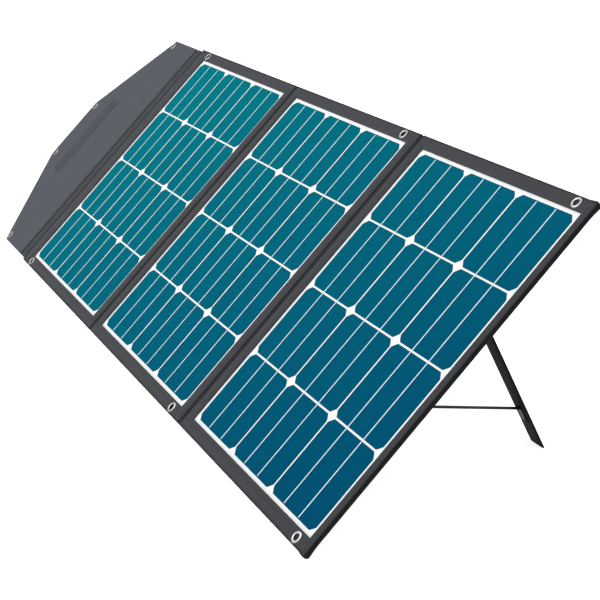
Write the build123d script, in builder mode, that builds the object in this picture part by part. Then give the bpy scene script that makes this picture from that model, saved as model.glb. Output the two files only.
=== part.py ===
"""Three-field folding solar panel with a cover flap, standing on two fold-out legs.

Frame: X runs along the width of the unfolded panel, with the flap at -X. The lit side faces -Y and up.
Z is up, and the floor is Z = 0. The origin is the middle of the bounding box, on the floor.
"""

from build123d import *
import math
import os

# Cells: pseudo-square wafers, which are squares cut from a round ingot.
cell_side = 125.0
cell_gap = 3.0
wafer_diameter = 165.0
columns = 3
rows = 4
ribbon_width = 1.8
ribbons_per_cell = 2

# Stance: the back of the panel leans this many degrees up from the floor.
lean_degrees = 44.5
leg_open_degrees = 73.0

# Borders of fabric round the cell lattice, and the sewn grooves between the fields.
border = 25.5
right_border = 18.0
field_gap = 57.0
groove_width = 8.0
flap_groove_from_lattice = 43.5
window_margin = 4.2
laminate_margin = 8.0
binding_width = 2.0

# Layers, from the back of the panel to its front.
back_fabric = 0.8
board_thickness = 3.0
backsheet_thickness = 0.8
cell_thickness = 0.3
ribbon_thickness = 0.2
film_cover = 0.7
film_clearance = 0.05
front_fabric = 1.2

# Grommets.
grommet_bore_radius = 4.5
grommet_tube_radius = 5.3
grommet_flange_radius = 8.5
grommet_flange_height = 1.0
grommet_roll_radius = 0.8
grommet_hole_clearance = 0.1
grommet_from_lattice_end = 15.0
grommet_inside_left_lattice = 4.25
grommet_inside_right_lattice = 17.0
grommet_foam_relief = 12.0

# Cover flap: a six-sided flap past a narrow spine.
flap_back = 1.0
flap_fabric = 0.8
flap_foam = 2.4
flap_hinge_height = 6.0
spine_pitch = 29.0
flap_end_inset = 3.0
flap_shoulder = 195.0
flap_reach = 326.0
flap_nose_half = 73.5
flap_grommet_shoulder = (190.0, 13.0)
flap_grommet_nose = (313.0, 66.5)
foam_inset = 1.5
foam_shoulder_cut = 54.0
foam_reach = 303.0

# Fold axes, as heights over the back of the panel.
middle_right_axis_height = 8.5
left_middle_axis_height = 16.5

# Legs.
leg_width = 32.0
leg_thickness = 4.0
leg_core_width = 28.0
leg_core_thickness = 2.4
leg_core_start = 4.0
leg_core_end_gap = 6.0
leg_from_outer_lattice = 137.0
leg_pivot_up_panel = 406.5
leg_pivot_behind = 4.9
leg_tab_length = 44.0
leg_tab_below_pivot = 2.0
leg_tab_thickness = 1.0

# Straps that stop the legs.
strap_width = 10.0
strap_thickness = 1.2
strap_panel_end = 171.0
strap_leg_end = 246.0
patch_length = 24.0
patch_width = 16.0
patch_thickness = 1.0
strap_end_clearance = 0.3

# Handle on the spine.
handle_span = 170.0
handle_stand = 26.0
handle_width = 18.0
handle_thickness = 3.0
handle_foot = 26.0
handle_grip_share = 0.7

# Closure patches.
hook_size = (40.0, 200.0)
loop_size = (70.0, 230.0)
closure_thickness = 1.2
hook_from_nose = 70.0

# Junction box on the back of the middle field.
junction_size = (64.0, 92.0)
junction_depth = 14.0
junction_wall = 2.0
junction_lid_thickness = 2.0
junction_lid_round = 1.2
junction_across = 72.0
junction_up = 190.0
junction_corner = 6.0
gland_radius = 6.0
gland_neck_radius = 5.0
gland_nose_radius = 5.2
gland_seat_clearance = 0.1
gland_length = 12.0
gland_bore_radius = 2.5
gland_nut_length = 5.0
gland_nut_sides = 6
gland_taper_degrees = 8
diode_board_size = (44.0, 60.0)
diode_board_thickness = 1.6
diode_radius = 2.7
diode_length = 9.5
diode_count = 3
diode_pitch = 16.0
diode_gap = 0.2

# How far apart two heights or radii may be and still count as the same.
match_tolerance = 0.01

# Worked out from the sizes above.
pitch = cell_side + cell_gap
lattice_width = columns * pitch
lattice_height = rows * pitch
panel_height = lattice_height + 2 * border
field_step = lattice_width + field_gap
hinge_offset = lattice_width + field_gap / 2
board_top = back_fabric + board_thickness
sheet_top = board_top + backsheet_thickness
cell_top = sheet_top + cell_thickness
ribbon_top = cell_top + ribbon_thickness
film_top = ribbon_top + film_cover
panel_front = film_top + front_fabric
flap_front = flap_back + 2 * flap_fabric + flap_foam

# Stations along the width, measured from the left side of the left lattice.
flap_hinge_station = -flap_groove_from_lattice
nose_hinge_station = flap_hinge_station - spine_pitch
left_middle_station = hinge_offset
middle_right_station = hinge_offset + field_step
right_end_station = 2 * field_step + lattice_width + right_border
mid_station = (right_end_station - flap_reach) / 2

lean = math.radians(lean_degrees)
leg_open = math.radians(leg_open_degrees)
up_cos = math.cos(lean)
up_sin = math.sin(lean)
leg_drop = leg_pivot_up_panel * up_sin - leg_pivot_behind * up_cos
leg_length = leg_drop / math.sin(lean + leg_open)
foot_back = (
    leg_pivot_up_panel * up_cos
    + leg_pivot_behind * up_sin
    - leg_length * math.cos(lean + leg_open)
    + leg_thickness / 2 / math.sin(lean + leg_open)
)
front_toe = -panel_front * up_sin
edge_y = -(foot_back + front_toe) / 2

# The panel's own plane: local X is the width, local Y runs up the panel, local Z is its front normal.
panel_plane = Plane(
    origin=(-mid_station, edge_y, 0), x_dir=(1, 0, 0), z_dir=(0, -up_sin, up_cos)
)


# The side of the leg's own plane that faces the panel.
inner_side = -1

# The cable gland stands on the junction box's lower wall and points down the panel.
junction_station = field_step + junction_across
gland_plane = Plane(
    origin=panel_plane.from_local_coords(
        Vector(
            junction_station,
            junction_up - junction_size[1] / 2,
            -(junction_wall + junction_depth) / 2,
        )
    ),
    x_dir=(1, 0, 0),
    z_dir=(0, -up_cos, -up_sin),
)


def panel_offset(height):
    """The panel's plane, raised by a height over the panel's back."""
    return panel_plane.offset(height)


def height_of(shape):
    """How high the middle of a shape lies over the panel's back."""
    return panel_plane.to_local_coords(shape.center()).Z


def is_near(value, target):
    """Whether two sizes count as the same."""
    return abs(value - target) < match_tolerance


def leg_plane(station):
    """A side plane of a leg: origin on the pivot, local X down the leg, local Z along the width."""
    return Plane(
        origin=(
            station - mid_station,
            edge_y + leg_pivot_up_panel * up_cos + leg_pivot_behind * up_sin,
            leg_drop,
        ),
        x_dir=(0, -math.cos(lean + leg_open), -math.sin(lean + leg_open)),
        z_dir=(1, 0, 0),
    )


def save(part, name):
    """Label a finished piece and write its file."""
    part.label = name
    export_step(part, f"parts/{name}.step")
    print(name, "volume", round(part.volume), "mm3, solids", len(part.solids()))


def rectangle_at(left, low, right, high):
    """A rectangle between two corners, for use inside a sketch."""
    with Locations(((left + right) / 2, (low + high) / 2)):
        Rectangle(right - left, high - low)


def field_edges(index):
    """Left and right ends of a field's stiff part."""
    lattice_left = index * field_step
    left = lattice_left - field_gap / 2 + groove_width / 2
    right = lattice_left + hinge_offset - groove_width / 2
    if index == 0:
        left = flap_hinge_station + groove_width / 2
    if index == 2:
        right = right_end_station
    return left, right


def field_grommet_points(index):
    """Grommet centres of one field: the left field has them at its left, the others at their right."""
    lattice_left = index * field_step
    station = lattice_left + lattice_width - grommet_inside_right_lattice
    if index == 0:
        station = lattice_left + grommet_inside_left_lattice
    low = border - grommet_from_lattice_end
    high = border + lattice_height + grommet_from_lattice_end
    return [(station, low), (station, high)]


def flap_grommet_points():
    """Grommet centres near the flap's four outer corners."""
    points = []
    for reach, from_end in (flap_grommet_shoulder, flap_grommet_nose):
        offset = panel_height / 2 - flap_end_inset - from_end
        if reach == flap_grommet_nose[0]:
            offset = from_end
        points.append((-reach, panel_height / 2 - offset))
        points.append((-reach, panel_height / 2 + offset))
    return points


def back_cover(index):
    """The woven cover over the back of one field, with holes for the grommets."""
    left, right = field_edges(index)
    with BuildPart() as cover:
        with BuildSketch(panel_plane):
            rectangle_at(
                left + binding_width,
                binding_width,
                right - binding_width,
                panel_height - binding_width,
            )
            with Locations(*field_grommet_points(index)):
                Circle(
                    grommet_tube_radius + grommet_hole_clearance, mode=Mode.SUBTRACT
                )
        extrude(amount=back_fabric)
    return cover.part


def front_cover(index):
    """The woven frame on the front of one field, with the window over the cells."""
    left, right = field_edges(index)
    lattice_left = index * field_step
    with BuildPart() as cover:
        with BuildSketch(panel_offset(film_top)):
            rectangle_at(
                left + binding_width,
                binding_width,
                right - binding_width,
                panel_height - binding_width,
            )
            with Locations(
                (lattice_left + lattice_width / 2, border + lattice_height / 2)
            ):
                Rectangle(
                    lattice_width + 2 * window_margin,
                    lattice_height + 2 * window_margin,
                    mode=Mode.SUBTRACT,
                )
            with Locations(*field_grommet_points(index)):
                Circle(
                    grommet_tube_radius + grommet_hole_clearance, mode=Mode.SUBTRACT
                )
        extrude(amount=front_fabric)
    return cover.part


def edge_binding(index):
    """Four strips of binding tape, which close the sides of one field."""
    left, right = field_edges(index)
    with BuildPart() as binding:
        with BuildSketch(panel_plane):
            rectangle_at(left, 0, right, binding_width)
            rectangle_at(left, panel_height - binding_width, right, panel_height)
        extrude(amount=panel_front)
    with BuildPart() as sides:
        with BuildSketch(panel_plane):
            rectangle_at(
                left, binding_width, left + binding_width, panel_height - binding_width
            )
            rectangle_at(
                right - binding_width,
                binding_width,
                right,
                panel_height - binding_width,
            )
        extrude(amount=panel_front)
    return Compound(children=[*binding.part.solids(), *sides.part.solids()])


def foam_rim(index):
    """Foam strips between the laminate and the binding, cut away round the grommets."""
    left, right = field_edges(index)
    lattice_left = index * field_step
    inner_left = lattice_left - laminate_margin
    inner_right = lattice_left + lattice_width + laminate_margin
    inner_low = border - laminate_margin
    inner_high = border + lattice_height + laminate_margin
    relief = field_grommet_points(index)[0][0]
    ends = [
        (binding_width, inner_low),
        (inner_high, panel_height - binding_width),
    ]
    with BuildPart() as rim:
        with BuildSketch(panel_offset(back_fabric)):
            for low, high in ends:
                rectangle_at(
                    left + binding_width, low, relief - grommet_foam_relief, high
                )
                rectangle_at(
                    relief + grommet_foam_relief, low, right - binding_width, high
                )
        extrude(amount=film_top - back_fabric)
    with BuildPart() as sides:
        with BuildSketch(panel_offset(back_fabric)):
            rectangle_at(left + binding_width, inner_low, inner_left, inner_high)
            rectangle_at(inner_right, inner_low, right - binding_width, inner_high)
        extrude(amount=film_top - back_fabric)
    return Compound(children=[*rim.part.solids(), *sides.part.solids()])


def laminate_plate(index, low, high):
    """A plain layer of the laminate between two heights."""
    lattice_left = index * field_step
    with BuildPart() as plate:
        with BuildSketch(panel_offset(low)):
            with Locations(
                (lattice_left + lattice_width / 2, border + lattice_height / 2)
            ):
                Rectangle(
                    lattice_width + 2 * laminate_margin,
                    lattice_height + 2 * laminate_margin,
                )
        extrude(amount=high - low)
    return plate.part


def cell_locations(index):
    """The grid of cell centres of one field, in the panel's plane."""
    lattice_left = index * field_step
    return [
        (
            lattice_left + (column + 0.5) * pitch,
            border + (row + 0.5) * pitch,
        )
        for column in range(columns)
        for row in range(rows)
    ]


def wafer_outline(grow=0.0):
    """A wafer's outline: a square with its corners cut by the round of the ingot."""
    with BuildSketch() as wafer:
        Rectangle(cell_side + 2 * grow, cell_side + 2 * grow)
        Circle(wafer_diameter / 2 + grow, mode=Mode.INTERSECT)
    return wafer.sketch


def cells(index):
    """The twelve pseudo-square wafers of one field."""
    with BuildPart() as wafers:
        with BuildSketch(panel_offset(sheet_top)):
            with Locations(*cell_locations(index)):
                add(wafer_outline())
        extrude(amount=cell_thickness)
    return wafers.part


def ribbon_rectangles(index, grow=0.0):
    """Two tinned ribbons down each column, at thirds of the cell's width."""
    lattice_left = index * field_step
    inset = cell_gap
    for column in range(columns):
        for track in range(ribbons_per_cell):
            share = (track + 1) / (ribbons_per_cell + 1)
            centre = lattice_left + (column + share) * pitch
            rectangle_at(
                centre - ribbon_width / 2 - grow,
                border + inset - grow,
                centre + ribbon_width / 2 + grow,
                border + lattice_height - inset + grow,
            )


def ribbons(index):
    """The six tinned ribbons of one field."""
    with BuildPart() as strips:
        with BuildSketch(panel_offset(cell_top)):
            ribbon_rectangles(index)
        extrude(amount=ribbon_thickness)
    return strips.part


def front_film(index):
    """The clear film: sealed to the sheet round its rim, moulded round the wafers and the ribbons."""
    lattice_left = index * field_step
    with BuildPart() as film:
        with BuildSketch(panel_offset(sheet_top)):
            with Locations(
                (lattice_left + lattice_width / 2, border + lattice_height / 2)
            ):
                Rectangle(
                    lattice_width + 2 * laminate_margin,
                    lattice_height + 2 * laminate_margin,
                )
        extrude(amount=film_top - sheet_top)
        with BuildSketch(panel_offset(sheet_top)):
            with Locations(
                (lattice_left + lattice_width / 2, border + lattice_height / 2)
            ):
                Rectangle(
                    lattice_width + 2 * window_margin,
                    lattice_height + 2 * window_margin,
                )
        extrude(amount=film_clearance, mode=Mode.SUBTRACT)
        with BuildSketch(panel_offset(sheet_top)):
            with Locations(*cell_locations(index)):
                add(wafer_outline(grow=film_clearance))
        extrude(amount=cell_thickness + film_clearance, mode=Mode.SUBTRACT)
        with BuildSketch(panel_offset(sheet_top)):
            ribbon_rectangles(index, grow=film_clearance)
        extrude(amount=ribbon_top - sheet_top + film_clearance, mode=Mode.SUBTRACT)
    return film.part


def grommet_set(points, back, front):
    """Eyelets: a tube through the fabric, with a rolled flange on both faces."""
    with BuildPart() as eyelets:
        for height, rise in (
            (back, front - back),
            (front, grommet_flange_height),
            (back - grommet_flange_height, grommet_flange_height),
        ):
            outer = grommet_flange_radius
            if height == back:
                outer = grommet_tube_radius
            with BuildSketch(panel_offset(height)):
                with Locations(*points):
                    Circle(outer)
                    Circle(grommet_bore_radius, mode=Mode.SUBTRACT)
            extrude(amount=rise)
        outermost = (front - back) / 2 + grommet_flange_height
        rolled = [
            edge
            for edge in eyelets.edges().filter_by(GeomType.CIRCLE)
            if is_near(edge.radius, grommet_flange_radius)
            and is_near(abs(height_of(edge) - (front + back) / 2), outermost)
        ]
        fillet(rolled, radius=grommet_roll_radius)
    return eyelets.part


def flap_half_outline():
    """Lower half of the flap's outline, about its middle line: hinge end, shoulder, nose."""
    half = panel_height / 2 - flap_end_inset
    root = nose_hinge_station - groove_width / 2
    return [(root, -half), (-flap_shoulder, -half), (-flap_reach, -flap_nose_half)]


def stiffener_half_outline():
    """Lower half of the foam's outline, which leaves the four grommet corners free.

    The shoulder corner is cut off by one straight line, and the nose ends short of the grommets.
    """
    root, shoulder, nose = (Vector(*point) for point in flap_half_outline())
    slope = (nose - shoulder).normalized()
    cut = shoulder + slope * foam_shoulder_cut
    end = shoulder + slope * ((shoulder.X + foam_reach) / -slope.X)
    return [
        (root.X - foam_inset, root.Y + foam_inset),
        (shoulder.X + foam_shoulder_cut, root.Y + foam_inset),
        (cut.X + foam_inset, cut.Y + foam_inset),
        (end.X, end.Y + foam_inset),
    ]


def whole_outline(lower):
    """A closed outline from its lower half, mirrored about the panel's middle line."""
    upper = [(x, -y) for x, y in reversed(lower)]
    return [(x, y + panel_height / 2) for x, y in lower + upper]


def flap_cover(low):
    """One of the two woven covers of the flap."""
    with BuildPart() as cover:
        with BuildSketch(panel_offset(low)):
            with BuildLine():
                Polyline(*whole_outline(flap_half_outline()), close=True)
            make_face()
            with Locations(*flap_grommet_points()):
                Circle(
                    grommet_tube_radius + grommet_hole_clearance, mode=Mode.SUBTRACT
                )
        extrude(amount=flap_fabric)
    return cover.part


def flap_stiffener():
    """The foam sheet between the flap's covers, with its corners cut off beside the grommets."""
    with BuildPart() as sheet:
        with BuildSketch(panel_offset(flap_back + flap_fabric)):
            with BuildLine():
                Polyline(*whole_outline(stiffener_half_outline()), close=True)
            make_face()
        extrude(amount=flap_foam)
    return sheet.part


def panel_box(left, low, right, high, back, rise):
    """A block in the panel's plane."""
    with BuildPart() as block:
        with BuildSketch(panel_offset(back)):
            rectangle_at(left, low, right, high)
        extrude(amount=rise)
    return block.part


def hinge_strip(station, low, high):
    """The strip of fabric that closes one groove at the back."""
    return panel_box(
        station - groove_width / 2,
        low,
        station + groove_width / 2,
        high,
        flap_back,
        flap_fabric,
    )


def carry_handle():
    """A webbing loop on the back of the spine, with a flat foot at each end."""
    middle = panel_height / 2
    centre = (flap_hinge_station + nose_hinge_station) / 2
    side = Plane(
        origin=panel_plane.from_local_coords(
            Vector(centre - handle_width / 2, middle, flap_back)
        ),
        x_dir=(0, up_cos, up_sin),
        z_dir=(1, 0, 0),
    )
    half = handle_span / 2
    inner_foot = half - handle_foot
    inner_grip = inner_foot * handle_grip_share
    outer_foot = inner_foot + handle_thickness / 2
    outer_grip = inner_grip + handle_thickness / 2
    outer_stand = handle_stand + handle_thickness
    with BuildPart() as handle:
        with BuildSketch(side):
            with BuildLine():
                Polyline(
                    (-half, 0),
                    (-inner_foot, 0),
                    (-inner_grip, -handle_stand),
                    (inner_grip, -handle_stand),
                    (inner_foot, 0),
                    (half, 0),
                    (half, -handle_thickness),
                    (outer_foot, -handle_thickness),
                    (outer_grip, -outer_stand),
                    (-outer_grip, -outer_stand),
                    (-outer_foot, -handle_thickness),
                    (-half, -handle_thickness),
                    close=True,
                )
            make_face()
        extrude(amount=handle_width)
    return handle.part


def leg_sleeve(station):
    """The fabric sleeve of a leg, round at its pivot, cut flat where it stands on the floor."""
    with BuildPart() as sleeve:
        with BuildSketch(leg_plane(station)):
            Circle(leg_thickness / 2)
            rectangle_at(0, -leg_thickness / 2, leg_length + leg_thickness, leg_thickness / 2)
        extrude(amount=leg_width / 2, both=True)
        split(bisect_by=Plane.XY, keep=Keep.TOP)
        with BuildSketch(leg_plane(station)):
            rectangle_at(
                -leg_thickness,
                -leg_core_thickness / 2,
                leg_length - leg_core_end_gap,
                leg_core_thickness / 2,
            )
        extrude(amount=leg_core_width / 2, both=True, mode=Mode.SUBTRACT)
    return sleeve.part


def leg_core(station):
    """The stiff board inside a leg's sleeve."""
    with BuildPart() as core:
        with BuildSketch(leg_plane(station)):
            rectangle_at(
                leg_core_start,
                -leg_core_thickness / 2,
                leg_length - leg_core_end_gap,
                leg_core_thickness / 2,
            )
        extrude(amount=leg_core_width / 2, both=True)
    return core.part


def leg_patch(station):
    """The sewn-down end of the strap, on the inner face of a leg."""
    with BuildPart() as patch:
        with BuildSketch(leg_plane(station)):
            rectangle_at(
                strap_leg_end,
                inner_side * leg_thickness / 2,
                strap_leg_end + patch_length,
                inner_side * (leg_thickness / 2 + patch_thickness),
            )
        extrude(amount=patch_width / 2, both=True)
    return patch.part


def leg_strap(station):
    """The taut strap from the back of the field to the inner face of the leg."""
    start = panel_plane.from_local_coords(Vector(station, strap_panel_end, 0))
    leg = leg_plane(station)
    stop = leg.from_local_coords(
        Vector(strap_leg_end, inner_side * leg_thickness / 2, 0)
    )
    run = stop - start
    side = Plane(origin=start, x_dir=run, z_dir=(1, 0, 0))
    with BuildPart() as strap:
        with BuildSketch(side):
            rectangle_at(
                strap_thickness + strap_end_clearance,
                -strap_thickness / 2,
                run.length - strap_thickness - strap_end_clearance,
                strap_thickness / 2,
            )
        extrude(amount=strap_width / 2, both=True)
    print("strap length", round(run.length, 1))
    return strap.part


def junction_outline(grow=0.0):
    """The junction box's rounded outline, for use inside a sketch."""
    with Locations((junction_station, junction_up)):
        RectangleRounded(
            junction_size[0] + 2 * grow, junction_size[1] + 2 * grow, junction_corner + grow
        )


def junction_base():
    """The tray of the junction box, open at the back of the panel, with a hole for the gland."""
    with BuildPart() as tray:
        with BuildSketch(panel_plane):
            junction_outline()
        extrude(amount=-junction_depth)
        with BuildSketch(panel_offset(-junction_wall)):
            junction_outline(grow=-junction_wall)
        extrude(amount=junction_wall - junction_depth, mode=Mode.SUBTRACT)
        with BuildSketch(gland_plane):
            Circle(gland_neck_radius + gland_seat_clearance)
        extrude(amount=-2 * junction_wall, mode=Mode.SUBTRACT)
    return tray.part


def junction_lid():
    """The snap-on lid of the junction box."""
    with BuildPart() as lid:
        with BuildSketch(panel_offset(-junction_depth)):
            junction_outline()
        extrude(amount=-junction_lid_thickness)
        outer = -junction_depth - junction_lid_thickness
        outer_faces = lid.faces().filter_by(lambda face: is_near(height_of(face), outer))
        fillet(outer_faces.edges(), radius=junction_lid_round)
    return lid.part


def junction_gland():
    """The cable gland: a threaded neck through the wall, a hexagon body and a domed nose."""
    with BuildPart() as gland:
        with BuildSketch(gland_plane.offset(-junction_wall)):
            Circle(gland_neck_radius)
        extrude(amount=junction_wall)
        with BuildSketch(gland_plane):
            RegularPolygon(gland_radius, gland_nut_sides)
        extrude(amount=gland_nut_length)
        with BuildSketch(gland_plane.offset(gland_nut_length)):
            Circle(gland_nose_radius)
        extrude(amount=gland_length - gland_nut_length, taper=gland_taper_degrees)
        with BuildSketch(gland_plane.offset(-junction_wall)):
            Circle(gland_bore_radius)
        extrude(amount=gland_length + junction_wall, mode=Mode.SUBTRACT)
    return gland.part


def diode_board():
    """The circuit board in the junction box, held on the tray's floor."""
    with BuildPart() as board:
        with BuildSketch(panel_offset(-junction_wall)):
            with Locations((junction_station, junction_up)):
                Rectangle(*diode_board_size)
        extrude(amount=-diode_board_thickness)
    return board.part


def bypass_diodes():
    """Three round diodes lying across the circuit board."""
    height = junction_wall + diode_board_thickness + diode_radius + diode_gap
    with BuildPart() as diodes:
        for number in range(diode_count):
            shift = (number - (diode_count - 1) / 2) * diode_pitch
            middle = panel_plane.from_local_coords(
                Vector(junction_station, junction_up + shift, -height)
            )
            with BuildSketch(Plane(origin=middle, z_dir=(1, 0, 0))):
                Circle(diode_radius)
            extrude(amount=diode_length / 2, both=True)
    return diodes.part


os.makedirs("parts", exist_ok=True)

for index, side in enumerate(("left", "middle", "right")):
    save(back_cover(index), f"{side}_back_cover")
    save(front_cover(index), f"{side}_front_cover")
    save(edge_binding(index), f"{side}_edge_binding")
    save(foam_rim(index), f"{side}_foam_rim")
    save(laminate_plate(index, back_fabric, board_top), f"{side}_board")
    save(laminate_plate(index, board_top, sheet_top), f"{side}_backsheet")
    save(cells(index), f"{side}_cells")
    save(ribbons(index), f"{side}_ribbons")
    save(front_film(index), f"{side}_front_film")
    save(
        grommet_set(field_grommet_points(index), 0.0, panel_front), f"{side}_grommets"
    )

save(flap_cover(flap_back), "flap_back_cover")
save(flap_cover(flap_front - flap_fabric), "flap_front_cover")
save(flap_stiffener(), "flap_stiffener")
save(grommet_set(flap_grommet_points(), flap_back, flap_front), "flap_grommets")
hook_left = -flap_reach + hook_from_nose
save(
    panel_box(
        hook_left,
        panel_height / 2 - hook_size[1] / 2,
        hook_left + hook_size[0],
        panel_height / 2 + hook_size[1] / 2,
        flap_front,
        closure_thickness,
    ),
    "closure_hook_patch",
)

# When the case is closed, the flap lies over the middle field's back, turned over about the spine's top.
# The hook is then as far past the spine as it is past the flap's hinge now. The middle field is turned
# over about its own fold, so that place is mirrored to find the loop's station on the open panel.
hook_from_hinge = nose_hinge_station - (hook_left + hook_size[0] / 2)
closed_hook = flap_hinge_station + hook_from_hinge
loop_station = 2 * left_middle_station - closed_hook
save(
    panel_box(
        loop_station - loop_size[0] / 2,
        panel_height / 2 - loop_size[1] / 2,
        loop_station + loop_size[0] / 2,
        panel_height / 2 + loop_size[1] / 2,
        -closure_thickness,
        closure_thickness,
    ),
    "closure_loop_patch",
)

save(
    panel_box(
        nose_hinge_station + groove_width / 2,
        flap_end_inset,
        flap_hinge_station - groove_width / 2,
        panel_height - flap_end_inset,
        flap_back,
        flap_front - flap_back,
    ),
    "flap_spine",
)
save(carry_handle(), "carry_handle")

for name, station, height in (
    ("left_middle_fold", left_middle_station, left_middle_axis_height),
    ("middle_right_fold", middle_right_station, middle_right_axis_height),
    ("spine_fold", flap_hinge_station, flap_hinge_height),
    ("flap_fold", nose_hinge_station, flap_hinge_height),
):
    axis = panel_plane.from_local_coords(Vector(station, 0, height))
    print(name, "axis", round(axis.X, 2), round(axis.Y, 2), round(axis.Z, 2))

strip_low = 2 * binding_width
strip_high = panel_height - strip_low
save(hinge_strip(left_middle_station, strip_low, strip_high), "left_middle_hinge_strip")
save(hinge_strip(middle_right_station, strip_low, strip_high), "middle_right_hinge_strip")
save(hinge_strip(flap_hinge_station, strip_low, strip_high), "spine_hinge_strip")
save(hinge_strip(nose_hinge_station, strip_low, strip_high), "flap_hinge_strip")

leg_stations = {
    "left": leg_from_outer_lattice,
    "right": 2 * field_step + lattice_width - leg_from_outer_lattice,
}
for side, station in leg_stations.items():
    save(leg_sleeve(station), f"{side}_leg_sleeve")
    save(leg_core(station), f"{side}_leg_core")
    save(leg_patch(station), f"{side}_leg_strap_patch")
    save(leg_strap(station), f"{side}_leg_strap")
    save(
        panel_box(
            station - leg_width / 2,
            leg_pivot_up_panel - leg_tab_below_pivot,
            station + leg_width / 2,
            leg_pivot_up_panel - leg_tab_below_pivot + leg_tab_length,
            -leg_tab_thickness,
            leg_tab_thickness,
        ),
        f"{side}_leg_hinge_tab",
    )
    save(
        panel_box(
            station - patch_width / 2,
            strap_panel_end - patch_length,
            station + patch_width / 2,
            strap_panel_end,
            -patch_thickness,
            patch_thickness,
        ),
        f"{side}_back_strap_patch",
    )

save(junction_base(), "junction_base")
save(junction_lid(), "junction_lid")
save(junction_gland(), "junction_gland")
save(diode_board(), "diode_board")
save(bypass_diodes(), "bypass_diodes")
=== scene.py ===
# %% [markdown]
# # A folding solar panel
# Three fields of cells and a cover flap are sewn together by soft grooves, and two legs hold them up.
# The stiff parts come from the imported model. This lesson makes the cloth parts around them: padded
# borders, grooves, flap, legs and straps, and it gives every part a finish that is worked out by nodes.

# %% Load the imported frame
import math

import bpy
import numpy as np
from mathutils import Matrix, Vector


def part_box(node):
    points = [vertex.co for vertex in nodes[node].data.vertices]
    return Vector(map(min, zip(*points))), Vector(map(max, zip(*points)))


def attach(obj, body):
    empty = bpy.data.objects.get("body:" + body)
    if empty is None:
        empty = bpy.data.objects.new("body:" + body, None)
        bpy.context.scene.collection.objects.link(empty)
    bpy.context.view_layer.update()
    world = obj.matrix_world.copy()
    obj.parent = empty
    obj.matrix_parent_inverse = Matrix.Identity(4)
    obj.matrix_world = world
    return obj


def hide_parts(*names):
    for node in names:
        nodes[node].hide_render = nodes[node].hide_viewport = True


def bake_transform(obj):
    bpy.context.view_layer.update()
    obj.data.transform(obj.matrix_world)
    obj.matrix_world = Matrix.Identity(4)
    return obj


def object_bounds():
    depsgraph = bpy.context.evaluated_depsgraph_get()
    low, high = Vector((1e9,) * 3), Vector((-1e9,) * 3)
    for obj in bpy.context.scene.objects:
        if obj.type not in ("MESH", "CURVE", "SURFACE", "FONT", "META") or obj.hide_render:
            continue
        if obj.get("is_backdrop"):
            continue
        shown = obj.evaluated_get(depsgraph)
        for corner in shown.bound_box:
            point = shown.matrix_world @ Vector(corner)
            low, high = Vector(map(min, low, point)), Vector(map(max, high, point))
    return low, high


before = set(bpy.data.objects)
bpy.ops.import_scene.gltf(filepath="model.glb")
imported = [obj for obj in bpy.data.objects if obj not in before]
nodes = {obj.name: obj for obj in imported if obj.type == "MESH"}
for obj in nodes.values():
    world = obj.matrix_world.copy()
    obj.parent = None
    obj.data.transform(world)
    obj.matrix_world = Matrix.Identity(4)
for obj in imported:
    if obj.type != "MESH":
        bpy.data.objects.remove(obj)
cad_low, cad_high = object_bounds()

# %% [markdown]
# The camera comes first, because everything else is judged through it. It stands to the right of the
# panel, a little higher than its top, and looks along the rows of cells with a long lens.

# %% Camera
CAMERA_PLACE = np.array([2.1384, -0.8565, 0.8444])
CAMERA_LOOK = np.array([-0.85457, 0.40286, -0.32773])
CAMERA_LENS = 83.1
CAMERA_SENSOR = 36.0


def aim(thing, look):
    """Turn a camera or a lamp so that its -Z looks along a direction, with its Y upwards."""
    back = -np.asarray(look) / np.linalg.norm(look)
    right = np.cross([0.0, 0.0, 1.0], back)
    right /= np.linalg.norm(right)
    upward = np.cross(back, right)
    turn = np.column_stack([right, upward, back])
    thing.rotation_mode = "QUATERNION"
    thing.rotation_quaternion = Matrix(turn.tolist()).to_quaternion()


camera = bpy.data.objects.new("camera", bpy.data.cameras.new("camera"))
bpy.context.scene.collection.objects.link(camera)
camera.data.lens = CAMERA_LENS
camera.data.sensor_width = CAMERA_SENSOR
camera.location = CAMERA_PLACE
aim(camera, CAMERA_LOOK)
bpy.context.scene.camera = camera
print("camera at", CAMERA_PLACE)

# %% [markdown]
# The panel leans back, so it is easier to think in its own directions: the station along its width, how
# far up the panel, and how far out of its back. These are millimetres here. One function turns whole
# arrays of them into places in the room, in metres.

# %% The panel's own directions
MM = 0.001
LEAN = math.radians(44.5)
UP_COS = math.cos(LEAN)
UP_SIN = math.sin(LEAN)
LAMINATE_MARGIN = 8.0
BINDING = 2.0
BACK_FABRIC = 0.8

sheet_low, sheet_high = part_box("left_backsheet")
cover_low, cover_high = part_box("left_back_cover")
STATION_ZERO = sheet_low.x + LAMINATE_MARGIN * MM
EDGE_Y = cover_low.y + (BACK_FABRIC * UP_SIN - BINDING * UP_COS) * MM


def panel(station, up, out):
    """Places of points given by station, distance up the panel, and height over its back.

    x grows with the station, y and z are the lean's cosine and sine shares of up and out.
    """
    station, up, out = np.broadcast_arrays(
        np.asarray(station, float), np.asarray(up, float), np.asarray(out, float)
    )
    x = STATION_ZERO + station * MM
    y = EDGE_Y + (up * UP_COS - out * UP_SIN) * MM
    z = (up * UP_SIN + out * UP_COS) * MM
    return np.stack([x, y, z], axis=-1)


print("station zero", round(STATION_ZERO, 4), "lower edge", round(EDGE_Y, 5))

# %% [markdown]
# The sizes below are the ones that the stiff parts were made with: the cell lattice of each field, the
# borders round it, and the places of the grooves.

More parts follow.
